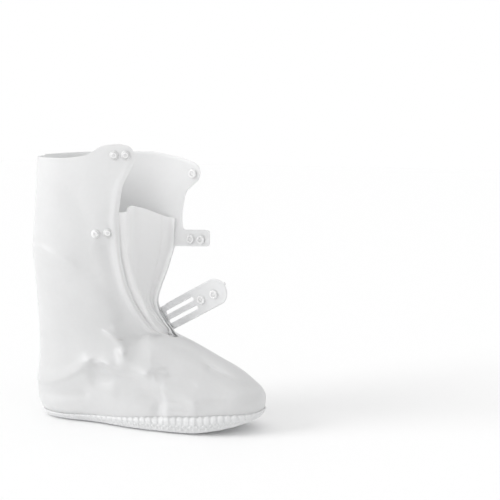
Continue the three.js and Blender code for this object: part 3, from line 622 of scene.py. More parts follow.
@dataclass
class Sheet:
    """A mesh being made: points in millimetres and faces of point numbers."""

    points: list[Array] = field(default_factory=list)
    faces: list[tuple[int, ...]] = field(default_factory=list)
    count: int = 0

    def add(self, points: Array) -> Array:
        """Adds points.

        Args:
            points: an array whose last axis is (x, y, z).

        Returns:
            Their numbers, in an array of the same form.
        """
        flat = np.asarray(points, float).reshape(-1, 3)
        self.points.append(flat)
        numbers = np.arange(self.count, self.count + len(flat))
        self.count += len(flat)
        return numbers.reshape(np.shape(points)[:-1])

    def quads(self, grid: Array, flip: bool = False, loop: bool = False) -> None:
        """Adds the faces of a grid of point numbers.

        Args:
            grid: rows of numbers.
            flip: turn the faces over.
            loop: join each row's end to its start.
        """
        if loop:
            grid = np.concatenate([grid, grid[:, :1]], axis=1)
        corners = [grid[:-1, :-1], grid[1:, :-1], grid[1:, 1:], grid[:-1, 1:]]
        rows = np.stack(corners[::-1] if flip else corners, axis=-1).reshape(-1, 4)
        for row in rows.tolist():
            face = tuple(dict.fromkeys(row))
            if len(face) > 2:
                self.faces.append(face)

    def build(self, name: str, place: Place, weld: float = 0.0) -> Piece:
        """Makes the object.

        Args:
            name: its name.
            place: where the maker's origin lies in the frame.
            weld: points closer than this, in millimetres, become one.

        Returns:
            The object, smooth shaded and linked to the scene.
        """
        mesh = bpy.data.meshes.new(name)
        points = place.metres(np.concatenate(self.points))
        mesh.from_pydata(points.tolist(), [], self.faces)
        mesh.validate()
        piece = bpy.data.objects.new(name, mesh)
        bpy.context.scene.collection.objects.link(piece)
        if weld:
            modifier = piece.modifiers.new("weld", "WELD")
            modifier.merge_threshold = weld * MM
            bake_modifiers(piece)
        piece.data.shade_smooth()
        return piece


def bake_modifiers(piece: Piece) -> None:
    """Makes a piece's modifiers part of its mesh.

    Args:
        piece: the object.
    """
    graph = bpy.context.evaluated_depsgraph_get()
    made = bpy.data.meshes.new_from_object(piece.evaluated_get(graph))
    old = piece.data
    piece.modifiers.clear()
    piece.data = made
    made.name = piece.name
    bpy.data.meshes.remove(old)


def thicken(piece: Piece, wall: float, round_off: float, sharp: float = 60) -> None:
    """Gives a sheet its wall, inwards, with rounded cut edges.

    Args:
        piece: the sheet.
        wall: the wall, in millimetres.
        round_off: the edges' rounding, in millimetres.
        sharp: how far an edge turns, in degrees, to be rounded.
    """
    solid = piece.modifiers.new("wall", "SOLIDIFY")
    solid.thickness = wall * MM
    solid.offset = -1
    solid.use_rim = True
    edge = piece.modifiers.new("edge", "BEVEL")
    edge.width = round_off * MM
    edge.segments = 2
    edge.limit_method = "ANGLE"
    edge.angle_limit = math.radians(sharp)
    edge.use_clamp_overlap = True
    bake_modifiers(piece)
    piece.data.shade_smooth()


# ---------------------------------------------------------------------------------------------
# Finishes.


class Nodes:
    """A node tree being built."""

    def __init__(self, tree: bpy.types.NodeTree) -> None:
        """Takes the tree."""
        self.tree = tree

    def node(self, kind: str, **settings: object) -> bpy.types.Node:
        """Adds a node.

        Args:
            kind: its type.
            settings: its attributes.

        Returns:
            The node.
        """
        node = self.tree.nodes.new(kind)
        for name, value in settings.items():
            setattr(node, name, value)
        return node

    def link(self, source: Socket, target: Socket) -> None:
        """Joins two sockets."""
        self.tree.links.new(source, target)

    def maths(self, operation: str, *values: Socket | float) -> Socket:
        """Adds a Math node.

        Args:
            operation: what it does.
            values: sockets or plain numbers.

        Returns:
            Its output.
        """
        node = self.node("ShaderNodeMath", operation=operation)
        for socket, value in zip(node.inputs, values):
            if isinstance(value, bpy.types.NodeSocket):
                self.link(value, socket)
            else:
                socket.default_value = value
        return node.outputs[0]


    def effect(
        self, group: bpy.types.NodeTree, vector: Socket, values: dict[str, float]
    ) -> Socket:
        """Adds a shared effect.

        Args:
            group: the effect.
            vector: what lays it.
            values: its inputs.

        Returns:
            Its output.
        """
        node = self.node("ShaderNodeGroup", node_tree=group)
        self.link(vector, node.inputs["Vector"])
        for name, value in values.items():
            node.inputs[name].default_value = value
        return node.outputs[0]


class Effect(Nodes):
    """A shared effect: a node group laid by a vector, with named inputs and one output."""

    def __init__(self, name: str, inputs: dict[str, float], output: str) -> None:
        """Makes the group with its inputs and no effect yet.

        Args:
            name: its name.
            inputs: its inputs besides the vector, with their values.
            output: its output's name.
        """
        super().__init__(bpy.data.node_groups.new(name, "ShaderNodeTree"))
        faces = self.tree.interface
        faces.new_socket(name="Vector", in_out="INPUT", socket_type="NodeSocketVector")
        for label, value in inputs.items():
            socket = faces.new_socket(name=label, in_out="INPUT", socket_type="NodeSocketFloat")
            socket.default_value = value
        faces.new_socket(name=output, in_out="OUTPUT", socket_type="NodeSocketFloat")
        self.given = self.node("NodeGroupInput").outputs
        self.end = self.node("NodeGroupOutput")

    def texture(
        self, kind: str, scale: str, vector: Socket | None = None, **values: float
    ) -> bpy.types.Node:
        """Adds a texture.

        Args:
            kind: its node's type.
            scale: the name of the input that is its scale.
            vector: what lays it, if not the group's own vector.
            values: its other inputs.

        Returns:
            The node.
        """
        node = self.node(kind)
        self.link(vector or self.given["Vector"], node.inputs["Vector"])
        self.link(self.given[scale], node.inputs["Scale"])
        for name, value in values.items():
            node.inputs[name].default_value = value
        return node

    def blend(self, one: Socket, rest: Socket, share: str) -> Socket:
        """Adds two values up.

        Args:
            one: the first value.
            rest: the other one.
            share: the name of the input that is the first one's share.

        Returns:
            Their sum.
        """
        part = self.given[share]
        first = self.maths("MULTIPLY", one, part)
        return self.maths(
            "ADD", first, self.maths("MULTIPLY", rest, self.maths("SUBTRACT", 1.0, part)))

    def finish(self, result: Socket) -> bpy.types.NodeTree:
        """Sends a socket to the output and returns the group."""
        self.link(result, self.end.inputs[0])
        return self.tree


def cloud_effect() -> bpy.types.NodeTree:
    """Cloudiness of the film: broad soft patches with finer mottling in them.

    Returns:
        A group that gives a mask from 0, clear, to 1, milky.
    """
    effect = Effect("film_cloud", {
        "Patch Scale": 12.0, "Mottle Scale": 160.0, "Mottle Share": 0.3}, "Cloud")
    patch = effect.texture("ShaderNodeTexNoise", "Patch Scale", Detail=3.0, Distortion=0.6)
    mottle = effect.texture("ShaderNodeTexNoise", "Mottle Scale", Detail=2.0)
    return effect.finish(
        effect.blend(mottle.outputs["Fac"], patch.outputs["Fac"], "Mottle Share"))


def grain_effect() -> bpy.types.NodeTree:
    """Moulded surface of soft plastic: fine pebbling over a slight waviness.

    Returns:
        A group that gives a height from 0 to about 1.
    """
    effect = Effect("moulded_grain", {
        "Pebble Scale": 900.0, "Wave Scale": 60.0, "Wave Share": 0.5}, "Height")
    pebble = effect.texture("ShaderNodeTexVoronoi", "Pebble Scale")
    pebble.feature = "SMOOTH_F1"
    wave = effect.texture("ShaderNodeTexNoise", "Wave Scale", Detail=2.0)
    return effect.finish(
        effect.blend(wave.outputs["Fac"], pebble.outputs["Distance"], "Wave Share"))


def scuff_effect(
    squeeze: tuple[float, float, float] = (1.0, 1.0, 5.0),
    turn: tuple[float, float, float] = (0.3, 0.5, 0.2),
    contrast: float = 4.0,
) -> bpy.types.NodeTree:
    """Faint handling marks: short stretched streaks where the film has been rubbed.

    Args:
        squeeze: how much closer together the streaks lie along each axis.
        turn: how they are turned, in radians.
        contrast: how sharply they start.

    Returns:
        A group that gives a mask from 0 to 1.
    """
    effect = Effect("handling_scuffs", {"Scale": 24.0, "Cover": 0.35}, "Scuff")
    stretch = effect.node("ShaderNodeMapping")
    stretch.inputs["Scale"].default_value = squeeze
    stretch.inputs["Rotation"].default_value = turn
    effect.link(effect.given["Vector"], stretch.inputs["Vector"])
    streak = effect.texture(
        "ShaderNodeTexNoise", "Scale", stretch.outputs["Vector"], Detail=5.0, Roughness=0.7)
    edge = effect.maths("SUBTRACT", 1.0, effect.given["Cover"])
    over = effect.maths("SUBTRACT", streak.outputs["Fac"], edge)
    clamp = effect.node("ShaderNodeClamp")
    effect.link(effect.maths("MULTIPLY", over, contrast), clamp.inputs["Value"])
    return effect.finish(clamp.outputs["Result"])


@dataclass(frozen=True)
class Effects:
    """The shared effects, each made once."""

    cloud: bpy.types.NodeTree
    grain: bpy.types.NodeTree
    scuff: bpy.types.NodeTree

    @classmethod
    def make(cls) -> Effects:
        """Makes the three groups."""
        return cls(cloud_effect(), grain_effect(), scuff_effect())


@dataclass(frozen=True)
class PlasticFinish:
    """A soft or hard plastic: its two tones, gloss, glow and surface."""

    name: str
    slot: Slot
    clear_tone: tuple[float, float, float]
    milky_tone: tuple[float, float, float]
    roughness: tuple[float, float]
    patch_scale: float
    wave_scale: float
    scuff_cover: float
    glow: float
    glow_depth: float
    mottle_scale: float = 190
    mottle_share: float = 0.3
    pebble_scale: float = 1100
    wave_share: float = 0.6
    relief: float = 0.1
    bump: float = 0.6
    see_through: float = 0
    cover: float = 1
    bending: float = 1.53

    def material(self, effects: Effects) -> bpy.types.Material:
        """Makes the material.

        Args:
            effects: the shared effects.

        Returns:
            A node material with cloudiness, handling marks and moulded grain.
        """
        made = bpy.data.materials.new(self.name)
        made.use_nodes = True
        nodes = Nodes(made.node_tree)
        shader = made.node_tree.nodes["Principled BSDF"]
        where = nodes.node("ShaderNodeTexCoord").outputs["Object"]
        cloud = nodes.effect(effects.cloud, where, {
            "Patch Scale": self.patch_scale, "Mottle Scale": self.mottle_scale,
            "Mottle Share": self.mottle_share})
        grain = nodes.effect(effects.grain, where, {
            "Pebble Scale": self.pebble_scale, "Wave Scale": self.wave_scale,
            "Wave Share": self.wave_share})
        scuff = nodes.effect(effects.scuff, where, {"Cover": self.scuff_cover})

        tone = nodes.node("ShaderNodeMix", data_type="RGBA")
        nodes.link(cloud, tone.inputs[MIX_SHARE])
        tone.inputs[MIX_FIRST].default_value = (*self.clear_tone, 1)
        tone.inputs[MIX_SECOND].default_value = (*self.milky_tone, 1)
        nodes.link(tone.outputs[MIX_RESULT], shader.inputs["Base Color"])

        smooth_end, rough_end = self.roughness
        worn = nodes.maths("MULTIPLY", scuff, rough_end - smooth_end)
        varied = nodes.maths("MULTIPLY", cloud, (rough_end - smooth_end) / 2)
        total = nodes.maths("ADD", nodes.maths("ADD", worn, varied), smooth_end)
        nodes.link(total, shader.inputs["Roughness"])

        bump = nodes.node("ShaderNodeBump")
        bump.inputs["Strength"].default_value = self.bump
        bump.inputs["Distance"].default_value = self.relief * MM
        nodes.link(grain, bump.inputs["Height"])
        nodes.link(bump.outputs["Normal"], shader.inputs["Normal"])

        for name, value in (
            ("IOR", self.bending), ("Subsurface Weight", self.glow),
            ("Subsurface Radius", (1.0, 1.0, 1.0)), ("Subsurface Scale", self.glow_depth * MM),
            ("Transmission Weight", self.see_through), ("Alpha", self.cover),
        ):
            shader.inputs[name].default_value = value
        return made


FILM = PlasticFinish(
    name="milky_film", slot=Slot.FILM,
    clear_tone=(0.765, 0.768, 0.771), milky_tone=(0.865, 0.867, 0.869), roughness=(0.34, 0.5),
    patch_scale=11, wave_scale=70, relief=0.12,
    scuff_cover=0.36, glow=0.8, glow_depth=4, see_through=0.08, cover=0.95)
# The gusset's finish is the shell's milky film with its tones painted lighter. This is painted light:
# it stands in for the light that the lamps don't bring into the slit's mouth, where the gusset sits.
PAINTED_LIGHT_GUSSET_FILM = PlasticFinish(
    name="painted_light_gusset_film", slot=Slot.FILM,
    clear_tone=(0.93, 0.932, 0.934), milky_tone=(0.97, 0.971, 0.972), roughness=(0.3, 0.45),
    patch_scale=20, wave_scale=90,
    scuff_cover=0.3, glow=1, glow_depth=3)
STRAP_FILM = PlasticFinish(
    name="strap_film", slot=Slot.FILM,
    clear_tone=(0.745, 0.748, 0.752), milky_tone=(0.825, 0.828, 0.831), roughness=(0.36, 0.5),
    patch_scale=14, wave_scale=80,
    scuff_cover=0.34, glow=0.8, glow_depth=2, cover=0.94)
SOLE = PlasticFinish(
    name="milky_sole", slot=Slot.SOLE,
    clear_tone=(0.67, 0.675, 0.68), milky_tone=(0.79, 0.793, 0.796), roughness=(0.45, 0.65),
    patch_scale=18, mottle_scale=260, mottle_share=0.45,
    pebble_scale=700, wave_scale=110, wave_share=0.4, relief=0.25,
    scuff_cover=0.45, glow=0.6, glow_depth=3)
RESIN = PlasticFinish(
    name="white_resin", slot=Slot.SNAP,
    clear_tone=(0.94, 0.94, 0.94), milky_tone=(0.97, 0.97, 0.97), roughness=(0.3, 0.42),
    patch_scale=60, mottle_scale=420, mottle_share=0.4,
    pebble_scale=1600, wave_scale=260, wave_share=0.7, relief=0.04,
    scuff_cover=0.3, glow=1, glow_depth=6)


@dataclass
class Wardrobe:
    """The finishes as materials, ready to dress pieces."""

    materials: dict[PlasticFinish, bpy.types.Material]

    @classmethod
    def make(cls, finishes: tuple[PlasticFinish, ...]) -> Wardrobe:
        """Makes each finish's material.

        Args:
            finishes: all that the pieces need.

        Returns:
            The wardrobe.
        """
        effects = Effects.make()
        return cls({finish: finish.material(effects) for finish in finishes})

    def dress(self, piece: Piece, finish: PlasticFinish, *nodes: str) -> None:
        """Gives a piece its finish, its body and the nodes it stands for.

        Args:
            piece: the piece.
            finish: what it's made of.
            nodes: the CAD nodes that it replaces.
        """
        piece.data.materials.clear()
        piece.data.materials.append(self.materials[finish])
        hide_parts(*nodes)
        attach(piece, BODY)
        LOG.info("%s: %d faces, stands for %s", piece.name, len(piece.data.polygons), nodes)


# ---------------------------------------------------------------------------------------------
# Sub-assemblies.


@dataclass
class Upper:
    """The moulded shell: heel, foot and leg, with the far panel's ear and tab in one with it."""

    form: BootForm
    place: Place
    edge_round: float = 0.5
    bottom: float = 5.3
    foot_rows: int = 66
    columns: int = 244
    density: Curve = Curve((
        (0, 3.4), (0.03, 2), (0.08, 1.35), (0.4, 1.3), (0.5, 0.6), (0.94, 0.65), (1, 2)))
    ankle_top: float = 150
    row_step: float = 3
    slit_rows: tuple[float, ...] = (0.5, 1, 1.6, 2.3, 3.1, 3.9)
    tab_low_rows: tuple[float, ...] = (-2, -1.5, -1, -0.5, -0.15, 0, 0.2, 0.6, 1.2, 2, 3)
    tab_high_rows: tuple[float, ...] = (-3, -2, -1.2, -0.6, -0.2, 0, 0.15, 0.5, 1, 1.8, 3, 5)
    tab_low: float = 219
    tab_high: float = 240.5
    tab_end: float = 203
    tab_round: float = 4
    tab_fillet: float = 5
    tab_foot_fillet: float = 2
    tab_tilt: float = 0.045
    tab_columns: int = 18
    tab_crowding: float = 0.9
    tab_aim: float = 0.985
    rim_rows: int = 18
    rim_crowding: float = 0.8
    density_steps: int = 2000

    def rows(self) -> Array:
        """Heights of the rows up to the rim band, closer together round the tab's corners.

        Returns:
            The heights.
        """
        form, step = self.form, self.row_step
        foot = np.linspace(self.bottom, form.slit_foot, self.foot_rows)
        slit = form.slit_foot + np.array(self.slit_rows)
        low = self.tab_low + np.array(self.tab_low_rows)
        high = self.tab_high + np.array(self.tab_high_rows)
        ankle = np.arange(slit[-1] + step / 2, self.ankle_top, step / 2)
        leg = np.arange(ankle[-1] + step, low[0], step)
        middle = np.arange(low[-1] + step / 2, high[0], step)
        above = np.arange(high[-1] + step / 2, form.rim_foot, step)
        return np.concatenate([foot, slit, ankle, leg, low, middle, high, above])

    def tab_reach(self, z: float, root_x: float) -> float:
        """How far along the foot the tab runs on from the panel's edge at a height.

        Args:
            z: the height.
            root_x: where the edge is.

        Returns:
            The distance, or 0 away from the tab.
        """
        above, below = z - self.tab_high, self.tab_low - z
        for past, fillet in ((above, self.tab_fillet), (below, self.tab_foot_fillet)):
            if past > 0:
                inside = max(0.0, fillet - past)
                return fillet - math.sqrt(fillet**2 - inside**2) if past < fillet else 0.0
        depth = min(self.tab_round, -above, -below)
        corner = self.tab_round - math.sqrt(self.tab_round**2 - (self.tab_round - depth) ** 2)
        return self.tab_end - corner - root_x

    def add_tab(self, sheet: Sheet, heights: Array, edge: Array) -> None:
        """Adds the tab beyond the far edge.

        Args:
            sheet: the mesh being made.
            heights: the rows' heights.
            edge: the numbers of the rows' far ends.
        """
        form = self.form
        level = (self.tab_low + self.tab_high) / 2
        ends, _, _ = form.level(np.full(2, level), np.array([self.tab_aim, 1]))
        run = ends[1] - ends[0]
        run /= np.hypot(*run)
        shares = np.linspace(0, 1, self.tab_columns + 1)[1:] ** self.tab_crowding
        points = np.concatenate(sheet.points)
        lowest, highest = self.tab_low - self.tab_foot_fillet, self.tab_high + self.tab_fillet
        rows = []
        for z, number in zip(heights, edge):
            if not lowest <= z <= highest:
                continue
            root = points[number]
            reach = self.tab_reach(float(z), float(root[0])) / run[0]
            out = np.stack([
                root[0] + run[0] * reach * shares, root[1] + run[1] * reach * shares,
                z + self.tab_tilt * reach * shares], axis=1)
            rows.append(np.concatenate([[number], sheet.add(out)]))
        sheet.quads(np.array(rows))

    def build(self, wardrobe: Wardrobe) -> None:
        """Builds and dresses the shell.

        Args:
            wardrobe: the finishes.
        """
        form = self.form
        even = np.linspace(0, 1, self.density_steps + 1)
        crowd = np.concatenate([[0], np.cumsum(self.density((even[1:] + even[:-1]) / 2))])
        shares = np.interp(np.linspace(0, crowd[-1], self.columns + 1), crowd, even)
        heights = self.rows()
        rim = np.linspace(0, 1, self.rim_rows) ** self.rim_crowding
        z = np.concatenate([
            np.repeat(heights[:, None], len(shares), axis=1),
            np.array([form.rim_row(shares, share) for share in rim]),
        ])
        t = np.broadcast_to(shares, z.shape)
        sheet = Sheet()
        points = form.surface(z, t)
        closed = heights <= form.slit_foot
        points[: len(heights)][closed, 0, 1] = 0
        grid = sheet.add(points)
        grid[: len(heights), -1][closed] = grid[: len(heights), 0][closed]
        sheet.quads(grid)
        self.add_tab(sheet, heights, grid[: len(heights), -1])
        piece = sheet.build("moulded_shell", self.place)
        thicken(piece, form.shell_wall, self.edge_round)
        wardrobe.dress(piece, FILM, "upper")


def spline(knots: Array, shares: Array, steps: int = 24) -> Array:
    """A smooth curve through knots, at shares of its length.

    Args:
        knots: its points, in order.
        shares: shares of its length, from 0 to 1.
        steps: how many steps it takes from one knot to the next.

    Returns:
        The points at those shares.
    """
    knots = np.concatenate([[2 * knots[0] - knots[1]], knots, [2 * knots[-1] - knots[-2]]])
    gaps = np.sqrt(np.linalg.norm(np.diff(knots, axis=0), axis=1))
    fine = np.linspace(0, 1, steps, endpoint=False)[:, None]
    pieces = []
    for k in range(1, len(knots) - 2):
        before, start, end, after = knots[k - 1 : k + 3]
        d0, d1, d2 = gaps[k - 1 : k + 2]
        leave = (start - before) / d0 - (end - before) / (d0 + d1) + (end - start) / d1
        reach = (end - start) / d1 - (after - start) / (d1 + d2) + (after - end) / d2
        rise = fine * fine * (3 - 2 * fine)
        pieces.append(
            start + rise * (end - start)
            + fine * (1 - fine) ** 2 * leave * d1 - fine**2 * (1 - fine) * reach * d1)
    line = np.concatenate([*pieces, knots[-2:-1]])
    reach = reaches(line)
    return np.stack([np.interp(shares * reach[-1], reach, line[:, a]) for a in range(3)], axis=1)


@dataclass
class Gusset:
    """The folded bellows sheet behind the slit."""

    form: BootForm
    place: Place
    wall: float = 1.2
    edge_round: float = 0.4
    room: float = 0.35
    foot: float = 107
    table_rows: int = 150
    levels: int = 96
    columns: int = 132
    # How far its two ends lap behind the panels, and where they bend away from them.
    near_lap: Curve = Curve(((107, 1.4), (112, 1.6), (118, 3), (275, 3)))
    near_bend: float = 1
    far_lap: float = 8
    far_bend: float = 0.3
    least_steep: float = 0.35
    # The folds by height: the lip in front, and the valley that it turns back into.
    bow: float = 3
    lip_x: Curve = Curve((
        (107, 172), (110, 167), (113, 161.5), (117, 157), (121, 153.5), (128, 149), (140, 144),
        (160, 138), (188, 129), (214, 123), (240, 121.5), (275, 122)))
    lip_y: Curve = Curve((
        (107, -4), (113, -7), (117, -10), (121, -13.5), (128, -19), (140, -24), (160, -29),
        (188, -36), (214, -38.5), (275, -38.5)))
    valley_x: Curve = Curve((
        (107, 169), (110, 163), (113, 156.5), (117, 151), (121, 146.5), (128, 138), (140, 126),
        (160, 115), (188, 109), (214, 108), (240, 110), (275, 113)))
    valley_y: Curve = Curve((
        (113, 0), (117, 1), (121, 3), (128, 6), (140, 10), (160, 14), (188, 18), (214, 21),
        (240, 21), (275, 18)))
    # Its far end keeps behind the far edge, and its foot is sunk and drawn in under the vamp.
    setback: Curve = Curve((
        (107, 10), (110, 6.5), (112, 2.5), (115, 0), (119, -1), (275, -1)))
    far_limit: Curve = Curve((
        (107, 200), (196, 156), (208, 149.6), (219, 150.8), (238, 152), (256, 153), (275, 153.4)))
    sink: Curve = Curve(((107, 1.3), (111, 1.1), (116, 0.6), (122, 0.2), (130, 0), (275, 0)))
    tuck: Curve = Curve(((107, 9), (110, 7), (113, 3.8), (117, 0.9), (121, 0), (275, 0)))
    # Heights between which pleats and band grow in, and shares over which the tuck dies out.
    crisp: tuple[float, float] = (112, 126)
    level_end: tuple[float, float] = (0.78, 0.98)
    top: Curve = Curve((
        (0, 268.5), (0.11, 269), (0.13, 272), (0.16, 273.5), (0.36, 273.5), (0.6, 269.5),
        (0.82, 260), (0.9, 256.5), (1, 255)))
    band_start: float = 0.86
    band_fade: float = 0.012
    band_step: float = 0.9
    pleat_fade: float = 45
    pleats: tuple[tuple[float, float, float, float, float], ...] = (
        # share across, its drift by height, width in shares, depth, top of the pleat
        (0.62, 0.0016, 0.026, 2.4, 186),
        (0.74, 0.001, 0.02, 2, 176),
        (0.84, 0.0004, 0.016, 1.6, 200),
        (0.3, -0.0006, 0.035, 1.8, 215),
    )

    def behind(self, side: Side, x: float, z: float, depth: float) -> Array:
        """A place behind a panel, on the same level.

        Args:
            side: which panel.
            x: where along the foot.
            z: the height.
            depth: how far behind the panel's outside, square to it.

        Returns:
            The place.
        """
        where = side, np.float64(x), np.float64(z)
        level = self.form.wall_out(*where) * np.array([1, 1, 0])
        steep = max(self.least_steep, float(np.linalg.norm(level)))
        return self.form.wall(*where, folded=True) - level * depth / steep**2

    def line(self, z: float, shares: Array) -> Array:
        """One level line, from the near lap by way of the lip and the valley to the far lap.

        Args:
            z: the height.
            shares: shares of the line's length.

        Returns:
            Its points.
        """
        form = self.form
        clear = form.shell_wall + self.room
        sunk = clear + float(self.sink(z))
        near_edge = form.edge(Side.NEAR, z)
        far_end = min(form.edge(Side.FAR, z) - float(self.setback(z)), float(self.far_limit(z)))
        lip = np.array([float(self.lip_x(z)), float(self.lip_y(z)), z])
        valley = np.array([float(self.valley_x(z)), float(self.valley_y(z)), z])
        flank = (lip + valley) / 2 - np.array([self.bow, 0, 0])
        knots = np.array([
            self.behind(Side.NEAR, near_edge - float(self.near_lap(z)), z, sunk),
            self.behind(Side.NEAR, near_edge - self.near_bend, z, sunk),
            lip, flank, valley,
            self.behind(Side.FAR, far_end - self.far_lap, z, clear + self.wall + self.far_bend),
            self.behind(Side.FAR, far_end, z, clear + self.wall),
        ])
        line = spline(knots, shares)
        line[:, 0] -= float(self.tuck(z)) * (1 - smooth(*self.level_end, shares))
        line[:, 2] = z
        return line

    def build(self, wardrobe: Wardrobe) -> None:
        """Args:
            wardrobe: the finishes.
        """
        shares = np.linspace(0, 1, self.columns + 1)
        tops = self.top(shares)
        levels = np.linspace(0, 1, self.levels + 1)
        heights = np.linspace(self.foot, float(tops.max()), self.table_rows)
        table = np.array([self.line(float(z), shares) for z in heights])
        z = self.foot + levels[:, None] * (tops - self.foot)
        points = np.empty((*z.shape, 3))
        for j in range(len(shares)):
            for axis in range(3):
                points[:, j, axis] = np.interp(z[:, j], heights, table[:, j, axis])
        points[..., 2] = z
        along = np.gradient(points, axis=1)
        out = np.cross(along, np.array([0, 0, 1.0]))
        out /= np.linalg.norm(out, axis=-1, keepdims=True)
        band = smooth(self.band_start - self.band_fade, self.band_start, shares)
        push = self.band_step * band * np.ones_like(z)
        for share, drift, width, depth, height in self.pleats:
            middle = share + drift * (z - self.foot)
            fade = 1 - smooth(height - self.pleat_fade, height, z)
            push -= depth * fade * np.exp(-(((shares - middle) / width) ** 2))
        points += out * (push * smooth(*self.crisp, z))[..., None]
        sheet = Sheet()
        sheet.quads(sheet.add(points))
        piece = sheet.build("folded_gusset", self.place)
        width = max(float(reaches(row)[-1]) for row in points)
        height = float(tops.max()) - self.foot
        thicken(piece, self.wall, self.edge_round)
        # The gusset's film has its tone painted lighter, as painted light for the slit's shaded
        # mouth.
        wardrobe.dress(piece, PAINTED_LIGHT_GUSSET_FILM, "gusset")


def straight(along: Array, across: float) -> Array:
    """Points of a straight line along a strap, at one distance across it."""
    return np.stack([along, np.full(len(along), across)], axis=1)


def half_circle(centre: float, radius: float, points: int) -> tuple[Array, Array]:
    """A half circle that bulges along a strap.

    Args:
        centre: how far along its middle is.
        radius: its radius.
        points: how many points it has.

    Returns:
        Its angles and its points.
    """
    turns = np.linspace(-math.pi / 2, math.pi / 2, points)
    return turns, np.stack([centre + radius * np.cos(turns), radius * np.sin(turns)], axis=1)


